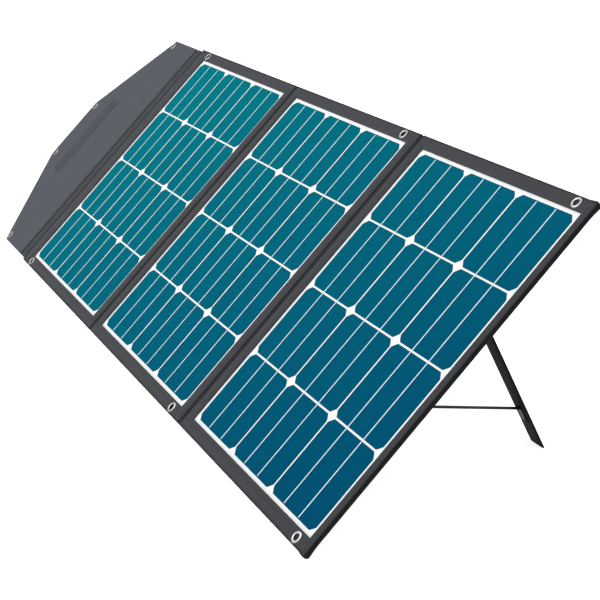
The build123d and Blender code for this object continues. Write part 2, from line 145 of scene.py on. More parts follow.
# %% Sizes
PITCH = 128.0
LATTICE_WIDTH = 3 * PITCH
LATTICE_HEIGHT = 4 * PITCH
BORDER = 25.5
PANEL_HEIGHT = LATTICE_HEIGHT + 2 * BORDER
FIELD_GAP = 57.0
FIELD_STEP = LATTICE_WIDTH + FIELD_GAP
HALF_GROOVE = 4.0
RIGHT_END = 2 * FIELD_STEP + LATTICE_WIDTH + 18.0
WINDOW = 4.2
FRONT = 7.0
FILM_TOP = 5.8
SPINE_HINGE = -43.5
FLAP_HINGE = -72.5
LEFT_MIDDLE = LATTICE_WIDTH + FIELD_GAP / 2
MIDDLE_RIGHT = LEFT_MIDDLE + FIELD_STEP
FLAP_BACK = 1.0
FLAP_FRONT = 5.0
FLAP_ROOT = FLAP_HINGE - HALF_GROOVE
FLAP_HALF = PANEL_HEIGHT / 2 - 3.0
FLAP_SHOULDER = -195.0
FLAP_NOSE = -326.0
FLAP_NOSE_HALF = 73.5
MID_UP = PANEL_HEIGHT / 2
SIDES = ("left", "middle", "right")
RIPPLE = 2 * np.pi / 8.0
FIELD_EDGES = {
    "left": (SPINE_HINGE + HALF_GROOVE, LEFT_MIDDLE - HALF_GROOVE),
    "middle": (LEFT_MIDDLE + HALF_GROOVE, MIDDLE_RIGHT - HALF_GROOVE),
    "right": (MIDDLE_RIGHT + HALF_GROOVE, RIGHT_END),
}
GROMMET_STATION = {"left": 4.25, "middle": FIELD_STEP + 367.0, "right": 2 * FIELD_STEP + 367.0}
GROMMET_UPS = (BORDER - 15.0, BORDER + LATTICE_HEIGHT + 15.0)
SHOULDER_EYELET = -190.0
NOSE_EYELET = -313.0
SHOULDER_EYELET_UP = FLAP_HALF - 13.0
NOSE_EYELET_UP = 66.5
FLAP_GROMMETS = [
    (SHOULDER_EYELET, MID_UP - SHOULDER_EYELET_UP),
    (SHOULDER_EYELET, MID_UP + SHOULDER_EYELET_UP),
    (NOSE_EYELET, MID_UP - NOSE_EYELET_UP),
    (NOSE_EYELET, MID_UP + NOSE_EYELET_UP),
]
print("fields", {side: FIELD_EDGES[side] for side in SIDES})

# %% [markdown]
# ## Finishes
# Every finish is worked out by nodes. To keep the sums readable, one small class stands for a socket and
# knows the signs of arithmetic, so that `1 - mask` adds a Math node. A second class keeps one material and
# has a single method that adds any other node.


# %% A socket that can be used in sums
class Wire:
    """A node's output. Its sums and products add Math nodes."""

    def __init__(self, tree, socket):
        self.tree = tree
        self.socket = socket

    def math(self, operation, first, second=None):
        node = self.tree.nodes.new("ShaderNodeMath")
        node.operation = operation
        for place, value in enumerate((first, second)):
            if isinstance(value, Wire):
                self.tree.links.new(value.socket, node.inputs[place])
            elif value is not None:
                node.inputs[place].default_value = value
        return Wire(self.tree, node.outputs[0])

    def __add__(self, other):
        return self.math("ADD", self, other)

    __radd__ = __add__

    def __sub__(self, other):
        return self.math("SUBTRACT", self, other)

    def __rsub__(self, other):
        return self.math("SUBTRACT", other, self)

    def __mul__(self, other):
        return self.math("MULTIPLY", self, other)

    __rmul__ = __mul__

    def __truediv__(self, other):
        return self.math("DIVIDE", self, other)

    def __abs__(self):
        return self.math("ABSOLUTE", self)

    def sin(self):
        return self.math("SINE", self)

    def over(self, level):
        return self.math("GREATER_THAN", self, level)

    def clamped(self):
        return self.math("MINIMUM", self.math("MAXIMUM", self, 0.0), 1.0)


# %% A material with one method for its nodes
class Finish:
    """A material built from a Principled shader, whose sockets take values or wires."""

    def __init__(self, name):
        self.material = bpy.data.materials.new(name)
        self.material.use_nodes = True
        self.tree = self.material.node_tree
        self.tree.nodes.clear()

    def node(self, kind, settings=None, inputs=None, output=0):
        """Add a node, set its settings, then give its sockets values or wires."""
        node = self.tree.nodes.new(kind)
        for key, value in (settings or {}).items():
            setattr(node, key, value)
        for key, value in (inputs or {}).items():
            socket = node.inputs[key]
            if isinstance(value, Wire):
                self.tree.links.new(value.socket, socket)
            else:
                socket.default_value = value
        return Wire(self.tree, node.outputs[output]) if node.outputs else node

    def mix(self, share, first, second):
        """A colour between two colours, by a share. A Mix node keeps its colour sockets at 6 and 7."""
        return self.node("ShaderNodeMix", {"data_type": "RGBA"}, {0: share, 6: first, 7: second}, output=2)

    def noise(self, where, scale, detail=3.0, roughness=0.55):
        """A cloudy value from 0 to 1."""
        sockets = {"Vector": where, "Scale": scale, "Detail": detail, "Roughness": roughness}
        return self.node("ShaderNodeTexNoise", None, sockets)

    def place(self):
        """The object's own coordinates."""
        return self.node("ShaderNodeTexCoord", None, None, output="Object")

    def parts(self, vector):
        """The first two values of a vector."""
        first = self.node("ShaderNodeSeparateXYZ", None, {"Vector": vector})
        return first, Wire(self.tree, first.socket.node.outputs[1])

    def bump(self, height, distance):
        """A normal tilted by a height."""
        return self.node("ShaderNodeBump", None, {"Height": height, "Distance": distance, "Strength": 1.0})

    def shade(self, **sockets):
        """The Principled shader, joined to the output. Names use _ for spaces."""
        inputs = {key.replace("_", " "): value for key, value in sockets.items()}
        shader = self.node("ShaderNodeBsdfPrincipled", None, inputs)
        self.node("ShaderNodeOutputMaterial", None, {"Surface": shader})
        return self.material


def rgb(red, green, blue):
    """A colour given as it looks on a screen, from 0 to 255, as the linear colour that shaders use."""
    share = np.array([red, green, blue]) / 255
    linear = np.where(share <= 0.04045, share / 12.92, ((share + 0.055) / 1.055) ** 2.4)
    return (*map(float, linear), 1.0)


# %% [markdown]
# Woven cloth is the main finish. A plain weave shows warp yarns over weft yarns in a checkerboard. With
# u and w counted in yarns, the sign of sin(pi u) sin(pi w) says which yarn is on top, and the absolute sine
# across that yarn is its round back. The cloth's own map holds metres, so the yarns keep their real size.

# %% Woven cloth
def yarn_height(across, along):
    """Height of a plain weave: |sin| across the yarn on top, lower towards the yarn's ends."""
    warp = (across * math.pi).sin()
    weft = (along * math.pi).sin()
    on_top = (warp * weft).over(0.0)
    rise_warp = abs(warp) * (abs(weft) * 0.4 + 0.6)
    rise_weft = abs(weft) * (abs(warp) * 0.4 + 0.6)
    return on_top * rise_warp + (1 - on_top) * rise_weft


def cloth_map(finish):
    """The cloth's own map: both values together, metres across, and metres along."""
    place = finish.node("ShaderNodeUVMap", {"uv_map": "Cloth"})
    return place, *finish.parts(place)


YARN_LONG = 14.0
YARN_ACROSS = 900.0


def woven(name, dark, light, yarn, sheen=0.08, streaks=0.5, painted_lit_front=None):
    """Cloth of a plain weave, with slubs along both yarns and a cloudy worn tone.

    The last argument is (dark, light, width): a paler tone painted within that many metres of the map's left
    side, as painted light on a lit face.
    """
    finish = Finish(name)
    place, across, along = cloth_map(finish)
    height = yarn_height(across / yarn, along / yarn)
    combine = "ShaderNodeCombineXYZ"
    long_u = finish.node(combine, None, {"X": across * YARN_ACROSS, "Y": along * YARN_LONG})
    long_w = finish.node(combine, None, {"X": across * YARN_LONG, "Y": along * YARN_ACROSS})
    slub = finish.noise(long_u, 1.0, 2.0) * 0.5 + finish.noise(long_w, 1.0, 2.0) * 0.5
    worn = finish.noise(place, 9.0, 4.0)
    fuzz = finish.noise(place, 1500.0, 2.0)
    tone = (height * 0.35 + (slub - 0.5) * streaks + (worn - 0.5) * 0.35 + 0.35).clamped()
    bump = finish.bump(height + slub * 0.6 + fuzz * 0.25, 0.00018)
    colour = finish.mix(tone, rgb(*dark), rgb(*light))
    # Painted light: a paler tone near the map's left side, where the piece faces the lamps.
    if painted_lit_front is not None:
        near = ((painted_lit_front[2] - across) * 2000.0).clamped()
        colour = finish.mix(near, colour, finish.mix(tone, rgb(*painted_lit_front[0]), rgb(*painted_lit_front[1])))
    return finish.shade(
        Base_Color=colour,
        Roughness=(worn - 0.5) * 0.2 + 0.78,
        Sheen_Weight=sheen,
        Sheen_Roughness=0.45,
        Specular_IOR_Level=0.12,
        Normal=bump,
    )


cover_cloth = woven("cover_cloth", (48, 50, 54), (70, 72, 76), 0.0009)
flap_cloth = woven("flap_cloth", (62, 66, 72), (83, 86, 93), 0.0009, streaks=0.35)
leg_cloth = woven("leg_cloth", (1, 1, 2), (7, 7, 9), 0.0009, sheen=0.0)
# The binding tape is painted paler on its front face and darker on its side wall: painted light and painted
# shade on one cloth.
TAPE_PAINTED_LIGHT = ((40, 41, 44), (62, 63, 66), 0.0034)
tape_cloth = woven("tape_cloth", (12, 11, 12), (28, 27, 28), 0.0007, sheen=0.02, painted_lit_front=TAPE_PAINTED_LIGHT)
groove_cloth = woven("groove_cloth", (45, 47, 51), (66, 68, 73), 0.0009)
print("cloth finishes made")

# %% [markdown]
# Webbing is thicker: its yarns run along the band in a herringbone, which turns at the middle of the band.
# Each slanted ridge is a sine of the length plus the distance from the middle line.


# %% Webbing, thread, hook and loop
RIDGE = 2 * math.pi / 0.0016
FINE_YARN = 2 * math.pi / 0.0011


def webbing(name, dark, light):
    """A band with slanted ridges that mirror about its middle line."""
    finish = Finish(name)
    place, across, along = cloth_map(finish)
    ribs = ((along + abs(across) * 0.9) * RIDGE).sin() * 0.5 + 0.5
    fine = (across * FINE_YARN).sin() * 0.5 + 0.5
    worn = finish.noise(place, 60.0, 3.0)
    tone = (ribs * 0.5 + fine * 0.2 + (worn - 0.5) * 0.4 + 0.1).clamped()
    return finish.shade(
        Base_Color=finish.mix(tone, rgb(*dark), rgb(*light)),
        Roughness=(worn - 0.5) * 0.2 + 0.62,
        Sheen_Weight=0.1,
        Sheen_Roughness=0.4,
        Normal=finish.bump(ribs + fine * 0.4, 0.0003),
    )


def thread(name, dark, light):
    """Twisted sewing thread: fine slanted plies and a little shine."""
    finish = Finish(name)
    where = finish.place()
    plies = finish.noise(where, 2500.0, 2.0)
    return finish.shade(
        Base_Color=finish.mix(plies, rgb(*dark), rgb(*light)),
        Roughness=0.55,
        Sheen_Weight=0.2,
        Normal=finish.bump(plies, 0.0001),
    )


def bristle(name, dark, light):
    """Hook or loop tape: a dense field of small round tufts on a woven ground."""
    finish = Finish(name)
    place = cloth_map(finish)[0]
    sockets = {"Vector": place, "Scale": 620.0}
    tufts = finish.node("ShaderNodeTexVoronoi", None, sockets, output="Distance")
    patchy = finish.noise(place, 45.0, 4.0)
    height = (1 - tufts * 1.4).clamped()
    tone = (height * 0.6 + (patchy - 0.5) * 0.8 + 0.15).clamped()
    return finish.shade(
        Base_Color=finish.mix(tone, rgb(*dark), rgb(*light)),
        Roughness=0.9,
        Sheen_Weight=0.04,
        Specular_IOR_Level=0.1,
        Normal=finish.bump(height, 0.0003),
    )


band_cloth = webbing("band_cloth", (26, 26, 28), (72, 72, 74))
cover_thread = thread("cover_thread", (48, 49, 53), (85, 86, 91))
black_thread = thread("black_thread", (20, 20, 21), (54, 54, 55))
loop_pile = bristle("loop_pile", (16, 16, 18), (44, 44, 47))
hook_pile = bristle("hook_pile", (60, 64, 73), (82, 86, 96))
print("webbing, thread and closure finishes made")

# %% [markdown]
# The cells are dark silicon seen through clear film. Their tone slides from teal at the upper left of the
# panel to deep blue at the lower right: painted reflection and painted fall-off of the light from the upper
# left, not a colour of the silicon. Printed silver fingers cross each cell, finer than a hair. The gloss of
# the film is the coat on the layers right under it.


# %% Cells, ribbons, backsheet and film
def leaning(finish):
    """Object coordinates turned so that Y runs up the panel and Z out of it, and their X and Y."""
    sockets = {"Vector": finish.place(), "Rotation": (-LEAN, 0.0, 0.0)}
    upright = finish.node("ShaderNodeMapping", {"vector_type": "POINT"}, sockets)
    return upright, *finish.parts(upright)


UP_LOW = EDGE_Y * UP_COS
UP_HIGH = UP_LOW + PANEL_HEIGHT * MM
SPREAD = (FIELD_STEP * 2 + LATTICE_WIDTH) * MM
FINGER = 2 * math.pi / 0.0016


def silicon():
    """Painted reflection and light fall-off from teal to blue by place, silver fingers and faint crystal
    clouds.
    """
    finish = Finish("silicon")
    turned, x, up = leaning(finish)
    # Painted reflection and painted light fall-off: the tone slides from teal at the upper left to blue at
    # the lower right.
    right = (x - STATION_ZERO) / SPREAD
    down = (UP_HIGH - up) / (UP_HIGH - UP_LOW)
    cloud = finish.noise(turned, 14.0, 3.0)
    painted_light_slide = (right * 0.66 + down * 0.34 + (cloud - 0.5) * 0.08).clamped()
    finger = ((up * FINGER).sin() - 0.86).over(0.0)
    grain = finish.noise(turned, 900.0, 2.0)
    painted_reflection_tone = finish.mix(painted_light_slide, rgb(0, 114, 124), rgb(0, 73, 107))
    tone = (finger * 0.03 + (grain - 0.5) * 0.04).clamped()
    return finish.shade(
        Base_Color=finish.mix(tone, painted_reflection_tone, rgb(40, 150, 170)),
        Roughness=(grain - 0.5) * 0.1 + 0.42,
        Specular_IOR_Level=0.0,
        Coat_Weight=0.05,
        Coat_Roughness=0.12,
        Coat_IOR=1.35,
        Normal=finish.bump(grain, 0.00001),
    )


def tinned():
    """Tinned copper ribbon: pale satin metal with dull flux clouds."""
    finish = Finish("tinned")
    turned, x, up = leaning(finish)
    cloud = finish.noise(turned, 160.0, 4.0)
    brushed = finish.node("ShaderNodeCombineXYZ", None, {"X": x * 2500.0, "Y": up * 30.0})
    lines = finish.noise(brushed, 1.0, 2.0)
    return finish.shade(
        Base_Color=finish.mix(cloud, rgb(196, 230, 238), rgb(230, 248, 252)),
        Metallic=0.1,
        Roughness=cloud * 0.2 + 0.35,
        Normal=finish.bump(lines, 0.00004),
    )


def white_sheet():
    """The white laminate behind the cells: a faint embossed grain under the film."""
    finish = Finish("white_sheet")
    turned = leaning(finish)[0]
    emboss = finish.noise(turned, 700.0, 2.0)
    cloud = finish.noise(turned, 12.0, 3.0)
    return finish.shade(
        Base_Color=finish.mix(cloud, rgb(248, 253, 255), rgb(254, 255, 255)),
        Roughness=emboss * 0.12 + 0.4,
        Coat_Weight=0.3,
        Coat_Roughness=0.12,
        Normal=finish.bump(emboss, 0.00006),
    )


def clear_film():
    """Clear embossed film, almost all let through."""
    finish = Finish("clear_film")
    turned = leaning(finish)[0]
    dimple = finish.noise(turned, 500.0, 2.0)
    smear = finish.noise(turned, 8.0, 3.0)
    return finish.shade(
        Base_Color=rgb(60, 90, 100),
        Roughness=dimple * 0.1 + 0.1,
        Alpha=smear * 0.006 + 0.002,
        Normal=finish.bump(dimple, 0.00004),
    )


silicon_finish = silicon()
ribbon_finish = tinned()
sheet_finish = white_sheet()
film_finish = clear_film()
print("laminate finishes made")

# %% [markdown]
# The rest are metal, foam, boards and moulded plastic. A moulded case has a fine spark-eroded grain, foam
# has open pores, and a nickel eyelet has rolled tool marks and small dark scratches.


# %% Metal, foam, boards and plastics
def grained(name, dark, light, scale, relief, roughness, **constants):
    """A material with a cloudy tone and a fine grain in its surface."""
    finish = Finish(name)
    where = finish.place()
    grain = finish.noise(where, scale, 3.0)
    cloud = finish.noise(where, scale / 30, 3.0)
    tone = (grain * 0.5 + cloud * 0.5).clamped()
    return finish.shade(
        Base_Color=finish.mix(tone, rgb(*dark), rgb(*light)),
        Roughness=(grain - 0.5) * 0.25 + roughness,
        Normal=finish.bump(grain, relief),
        **constants,
    )


BORE_RADIUS = 0.00455


def nickel():
    """Nickel-plated brass: bright satin, scratched and spotted, with painted shade down its bore.

    The map's first value is the distance from the eyelet's axis, so the painted shade is where that is
    small.
    """
    finish = Finish("nickel")
    # Painted shade: down the bore the plating is painted dark and less metallic, standing in for shade
    # inside the tube.
    unshaded_share = ((cloth_map(finish)[1] - BORE_RADIUS) * 1500.0).clamped()
    where = finish.place()
    scratch = finish.noise(where, 1800.0, 4.0, 0.8)
    dull = finish.noise(where, 220.0, 3.0)
    plated = finish.mix(dull, rgb(158, 158, 155), rgb(220, 220, 216))
    return finish.shade(
        Base_Color=finish.mix(unshaded_share, rgb(24, 24, 26), plated),
        Metallic=unshaded_share * 0.85,
        Roughness=dull * 0.25 + 0.22,
        Normal=finish.bump(scratch, 0.00005),
    )


nickel_finish = nickel()
foam_finish = grained("foam_finish", (100, 100, 104), (134, 134, 138), 900.0, 0.0004, 0.9)
board_finish = grained("board_finish", (80, 80, 82), (112, 112, 114), 500.0, 0.0001, 0.6)
core_finish = grained("core_finish", (120, 116, 104), (164, 158, 142), 420.0, 0.0002, 0.8)
plastic_finish = grained("plastic_finish", (22, 22, 23), (44, 44, 45), 1300.0, 0.00012, 0.5)
circuit_finish = grained("circuit_finish", (10, 62, 34), (24, 104, 60), 300.0, 0.00006, 0.4)
diode_finish = grained("diode_finish", (18, 18, 19), (42, 42, 43), 800.0, 0.00004, 0.3)
print("hard finishes made")

# %% [markdown]
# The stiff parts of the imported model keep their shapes. They only get their finishes.

# %% Finishes for the stiff parts
CARRIED = {
    "cells": silicon_finish,
    "ribbons": ribbon_finish,
    "backsheet": sheet_finish,
    "front_film": film_finish,
    "board": board_finish,
    "foam_rim": foam_finish,
}


def coat(node, material):
    """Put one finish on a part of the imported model."""
    data = nodes[node].data
    data.materials.clear()
    data.materials.append(material)


for side in SIDES:
    for part, material in CARRIED.items():
        coat(f"{side}_{part}", material)
for node, material in {
    "flap_stiffener": foam_finish,
    "left_leg_core": core_finish,
    "right_leg_core": core_finish,
    "junction_base": plastic_finish,
    "junction_lid": plastic_finish,
    "junction_gland": plastic_finish,
    "diode_board": circuit_finish,
    "bypass_diodes": diode_finish,
}.items():
    coat(node, material)
print("finishes put on the stiff parts")

# %% [markdown]
# ## Meshes from arrays
# Every cloth piece is a grid of points that numpy works out at once. This helper turns such a grid into a
# mesh with faces that point outwards, and gives it the map that the weave follows.


# %% From an array to a mesh
def mesh_object(name, points, faces, cloth, material):
    """A mesh object from points (n, 3), faces (m, 4) and map places (n, 2) in metres."""
    mesh = bpy.data.meshes.new(name)
    mesh.from_pydata(points.reshape(-1, 3).tolist(), [], faces.tolist())
    if cloth is not None:
        layer = mesh.uv_layers.new(name="Cloth")
        corner = np.zeros(len(mesh.loops), np.int32)
        mesh.loops.foreach_get("vertex_index", corner)
        layer.data.foreach_set("uv", cloth.reshape(-1, 2)[corner].astype(np.float32).ravel())
    mesh.materials.append(material)
    mesh.shade_smooth()
    thing = bpy.data.objects.new(name, mesh)
    bpy.context.scene.collection.objects.link(thing)
    return thing


def grid_faces(rows, columns, wrap_rows=False, wrap_columns=False):
    """Quads of a grid numbered row by row, which may close on itself either way."""
    row = np.arange(rows if wrap_rows else rows - 1)[:, None]
    column = np.arange(columns if wrap_columns else columns - 1)[None, :]
    next_row = (row + 1) % rows
    next_column = (column + 1) % columns
    quads = np.stack(
        [
            row * columns + column,
            row * columns + next_column,
            next_row * columns + next_column,
            next_row * columns + column,
        ],
        axis=-1,
    )
    return quads.reshape(-1, 4)


def capped_faces(rows, columns, flip=False):
    """Faces of a closed profile carried along a path, with its two ends.

    A profile has an even number of points, and point k lies across from the last point but k, so an
    end is closed by quads between them.
    """
    faces = grid_faces(rows, columns, wrap_columns=True)
    near = np.arange(columns // 2 - 1)
    far = columns - 1 - near
    cap = np.stack([near, far, far - 1, near + 1], axis=-1)
    faces = np.concatenate([faces, cap, cap[:, ::-1] + (rows - 1) * columns])
    return faces[:, ::-1] if flip else faces


def tube(name, points, cloth, material, flip=False):
    """A mesh object from a closed profile carried along a path: points (rows, profile, 3)."""
    return mesh_object(name, points, capped_faces(*points.shape[:2], flip), cloth, material)


def lengths(places):
    """How far along a line each of its places (n, 2) is."""
    return np.concatenate([[0], np.cumsum(np.hypot(*np.diff(places, axis=0).T))])


def strip_map(across, along):
    """The map of a strip in metres, from millimetres round its section and along its path."""
    return np.stack(np.broadcast_arrays(across[None, :] * MM, along[:, None] * MM), axis=-1)


WAVES = 6


def wave(station, up, size, seed):
    """Slow soft unevenness of cloth: a sum of crossing sines with fixed phases."""
    draw = np.random.default_rng(seed)
    total = np.zeros(np.broadcast(station, up).shape)
    for _ in range(WAVES):
        length = draw.uniform(35.0, 130.0)
        angle = draw.uniform(0.0, math.pi)
        phase = draw.uniform(0.0, 2 * math.pi)
        total = total + np.sin(
            (station * math.cos(angle) + up * math.sin(angle)) * 2 * math.pi / length + phase
        )
    return total * size / WAVES


print("mesh helpers ready")

# %% [markdown]
# ## Padded covers
# The front of a field is one piece of cloth with a window over the cells. Foam lifts it between two rows
# of stitches, one along the outer edge and one along the window. It rolls over at its edges. All of that is
# one height worked out from two distances: to the outer edge and to the window.

# %% Spacing and holes
OUTER_STEPS = np.array([0.0, 0.25, 0.6, 1.1, 1.8, 2.7, 3.6, 4.4, 5.0, 5.6, 6.4, 7.6, 9.0, 11.0])
WINDOW_STEPS = np.array([0.0, 0.12, 0.35, 0.8, 1.5, 2.2, 2.8, 3.3, 4.0, 5.0, 6.5])
COARSE = 6.0
GROMMET_STEPS = np.arange(-9.0, 9.1, 1.2)
HOLE_CUT = 6.2
HOLE_RADIUS = 5.35


def spaced(low, high, marks, coarse=COARSE):
    """Places from low to high: all the marks between them, filled in at an even coarse step."""
    fill = np.linspace(low, high, int((high - low) / coarse) + 2)
    marks = np.unique(np.clip(np.concatenate([[low, high], *marks]), low, high).round(3))
    marks = marks[np.concatenate([[True], np.diff(marks) > 0.1])]
    far = np.abs(fill[:, None] - marks[None, :]).min(axis=1) > 0.4 * coarse
    return np.sort(np.concatenate([marks, fill[far]]))


def punched(faces, plane, centres, keep):
    """Faces without those over a hole, and the rim of each hole drawn onto its circle.

    plane holds (station, up) of each point. keep says which faces stay.
    """
    moved = plane.copy()
    for centre in centres:
        offset = plane - centre
        distance = np.hypot(*offset.T)
        middle = plane[faces].mean(axis=1) - centre
        hole = np.hypot(*middle.T) < HOLE_CUT
        rim = np.zeros(len(plane), bool)
        rim[faces[hole & keep].ravel()] = True
        inside = np.zeros(len(plane), bool)
        keep = keep & ~hole
        inside[faces[keep].ravel()] = True
        rim &= inside
        moved[rim] = centre + offset[rim] / distance[rim, None] * HOLE_RADIUS
    return moved, keep


print("a hole of radius", HOLE_RADIUS)


# %% A padded sheet over a grid
PLANES = {}


def padded_sheet(name, stations, ups, height, material, centres=(), hole=None, back=False, shape=None):
    """A cloth sheet: height(station, up) over a grid, with punched holes and a thickness.

    shape bends the plain grid into the sheet's outline. hole(station, up) is true where nothing is sewn.
    """
    station, up = np.meshgrid(stations, ups, indexing="xy")
    if shape is not None:
        station, up = shape(station, up)
    faces = grid_faces(*station.shape)
    flat = np.stack([station, up], axis=-1).reshape(-1, 2)
    keep = np.ones(len(faces), bool)
    if hole is not None:
        middle = flat[faces].mean(axis=1)
        keep = ~hole(middle[:, 0], middle[:, 1])
    moved, keep = punched(faces, flat, centres, keep)
    faces = faces[keep]
    out = height(flat[:, 0], flat[:, 1])
    points = panel(moved[:, 0], moved[:, 1], out)
    used = np.unique(faces)
    renumber = np.zeros(len(points), np.int64)
    renumber[used] = np.arange(len(used))
    faces = renumber[faces]
    if back:
        faces = faces[:, ::-1]
    PLANES[name] = moved[used]
    return mesh_object(name, points[used], faces, moved[used] * MM, material)


def thicken(thing, thickness):
    """Give a sheet its cloth thickness, inwards."""
    solid = thing.modifiers.new("cloth thickness", "SOLIDIFY")
    solid.thickness = thickness * MM
    solid.offset = -1.0
    solid.use_even_offset = False
    return thing


def bell(distance, centre, width):
    """A smooth bump of height 1 round a distance."""
    return np.exp(-(((distance - centre) / width) ** 2))


# %% [markdown]
# Padded cloth is puffed by its filling, and that shape is hard to write as a formula. So each cover is let
# go as simulated cloth: the rows of stitches, the hems and the eyelets hold it, a light pressure pushes it
# from inside, and gravity is off. What it moves square to the panel is kept, up to a small cap, so that it
# never leaves its seams. The same start always gives the same result, and it runs each time.


# %% Puffed cloth
PUFF_CAP = 0.8
FLAP_CAP = 0.3
PUFF_FRAMES = 16
HELD_EDGE = 6.0
HELD_WINDOW = 4.2
HELD_EYELET = 10.0
CANVAS = {
    "vertex_group_mass": "sewn",
    "quality": 3,
    "mass": 0.15,
    "tension_stiffness": 12.0,
    "compression_stiffness": 12.0,
    "shear_stiffness": 4.0,
    "bending_stiffness": 0.3,
    "use_pressure": True,
    "uniform_pressure_force": 4.0,
}


def held_round(centres, station, up):
    """True for points close to an eyelet."""
    return np.any([np.hypot(station - x, up - y) < HELD_EYELET for x, y in centres], axis=0)


def puffed(thing, held, sign, cap=PUFF_CAP):
    """Simulate a cover as held cloth under pressure, and keep its movement out of the panel.

    held is true where a point is sewn down. The movement d becomes cap x tanh(d / cap).
    """
    mesh = thing.data
    rest = np.zeros(len(mesh.vertices) * 3)
    mesh.vertices.foreach_get("co", rest)
    rest = rest.reshape(-1, 3)
    group = thing.vertex_groups.new(name="sewn")
    group.add(np.flatnonzero(held).tolist(), 1.0, "REPLACE")
    cloth = thing.modifiers.new("puff", "CLOTH")
    for key, value in CANVAS.items():
        setattr(cloth.settings, key, value)
    cloth.settings.effector_weights.gravity = 0.0
    cloth.collision_settings.use_collision = False
    cloth.point_cache.frame_start = 1
    cloth.point_cache.frame_end = PUFF_FRAMES
    scene = bpy.context.scene
    for frame_number in range(1, PUFF_FRAMES + 1):
        scene.frame_set(frame_number)
    moved = np.zeros(len(mesh.vertices) * 3)
    simulated = thing.evaluated_get(bpy.context.evaluated_depsgraph_get())
    simulated.to_mesh().vertices.foreach_get("co", moved)
    simulated.to_mesh_clear()
    thing.modifiers.remove(cloth)
    scene.frame_set(1)
    outward = np.array([0.0, -UP_SIN, UP_COS]) * sign
    rise = (moved.reshape(-1, 3) - rest) @ outward
    kept = cap * MM * np.tanh(rise / (cap * MM))
    rest += kept[:, None] * outward
    mesh.vertices.foreach_set("co", rest.ravel())
    mesh.update()
    thing.vertex_groups.remove(group)
    print(thing.name, "puffed by up to", round(float(kept.max()) / MM, 2), "mm")


# %% [markdown]
# The same heights serve all three fields. Near a groove the cloth rolls down to the back, and at an outer
# edge it goes under the binding.

# %% Front covers
STITCH_INSET = 5.0
WINDOW_STITCH = 3.2
TUCK = 1.2
GROOVE_TUCK = 0.15


def cover_limits(side):
    """Left, right, low and high of a field's cover: tucked under the binding, or down a groove."""
    left, right = FIELD_EDGES[side]
    right_tuck = TUCK if side == "right" else GROOVE_TUCK
    return left + GROOVE_TUCK, right - right_tuck, TUCK, PANEL_HEIGHT - TUCK


def window_limits(side):
    """Left, right, low and high of the window over the cells."""
    left = SIDES.index(side) * FIELD_STEP - WINDOW
    return left, left + LATTICE_WIDTH + 2 * WINDOW, BORDER - WINDOW, BORDER + LATTICE_HEIGHT + WINDOW


def outer_distance(limits, station, up):
    """How far inside a rectangle's nearest side a place is."""
    left, right, low, high = limits
    return np.minimum.reduce([station - left, right - station, up - low, high - up])


def window_distance(limits, station, up):
    """How far outside a window a place is, and negative within it."""
    left, right, low, high = limits
    return np.maximum.reduce([left - station, station - right, low - up, up - high])


def front_height(side):
    """Height of a front cover: a rolled outer edge, two stitch rows, a padded crown, a folded window."""
    limits = cover_limits(side)
    window = window_limits(side)

    def height(station, up):
        outer = np.maximum(outer_distance(limits, station, up), 0.0)
        inner = np.maximum(window_distance(window, station, up), 0.0)
        share = outer / (outer + inner + 1e-6)
        crown = 0.55 * np.sin(np.pi * share) ** 0.8
        roll = 5.3 * np.exp(-outer / 0.12) + 0.9 * np.exp(-outer / 0.7)
        fold = 1.0 * np.exp(-inner / 0.12) + 0.15 * np.exp(-inner / 0.8)
        row = 0.5 * bell(outer, STITCH_INSET, 1.1) + 0.4 * bell(inner, WINDOW_STITCH, 0.9)
        pucker = 0.10 * np.sin((station + up) * RIPPLE) * (
            bell(outer, STITCH_INSET, 3.0) + bell(inner, WINDOW_STITCH, 2.0)
        )
        soft = wave(station, up, 0.22, seed=SIDES.index(side) + 1) * np.clip(share * 4, 0, 1)
        return FRONT + crown - roll - fold - row + pucker + soft

    return height


def cover_spacing(side, window=None):
    """Grid places across and up one field, close together at edges, window and grommets."""
    left, right, low, high = cover_limits(side)
    centre = GROMMET_STATION[side]
    across = [left + OUTER_STEPS, right - OUTER_STEPS, centre + GROMMET_STEPS]
    along = [low + OUTER_STEPS, high - OUTER_STEPS]
    along += [middle + GROMMET_STEPS for middle in GROMMET_UPS]
    if window is not None:
        across += [window[0] - WINDOW_STEPS, window[1] + WINDOW_STEPS]
        along += [window[2] - WINDOW_STEPS, window[3] + WINDOW_STEPS]
    return spaced(left, right, across), spaced(low, high, along)


def grommet_centres(side):
    """The (station, up) of a field's two eyelets."""
    return [(GROMMET_STATION[side], up) for up in GROMMET_UPS]


pieces = {}
for side in SIDES:
    window = window_limits(side)
    stations, ups = cover_spacing(side, window)
    pieces[f"{side}_front"] = padded_sheet(
        f"{side}_front_cloth",
        stations,
        ups,
        front_height(side),
        cover_cloth,
        centres=grommet_centres(side),
        hole=lambda station, up, window=window: window_distance(window, station, up) < 0.0,
    )
    station, up = PLANES[f"{side}_front_cloth"].T
    held = outer_distance(cover_limits(side), station, up) < HELD_EDGE
    held |= window_distance(window, station, up) < HELD_WINDOW
    held |= held_round(grommet_centres(side), station, up)
    puffed(pieces[f"{side}_front"], held, 1.0)
    thicken(pieces[f"{side}_front"], 0.8)
    print(side, "front cloth", len(pieces[f"{side}_front"].data.polygons), "faces")


# %% [markdown]
# The back of a field is a plain padded sheet with one row of stitches round it. It is seen only from
# behind, where the legs and the junction box are.


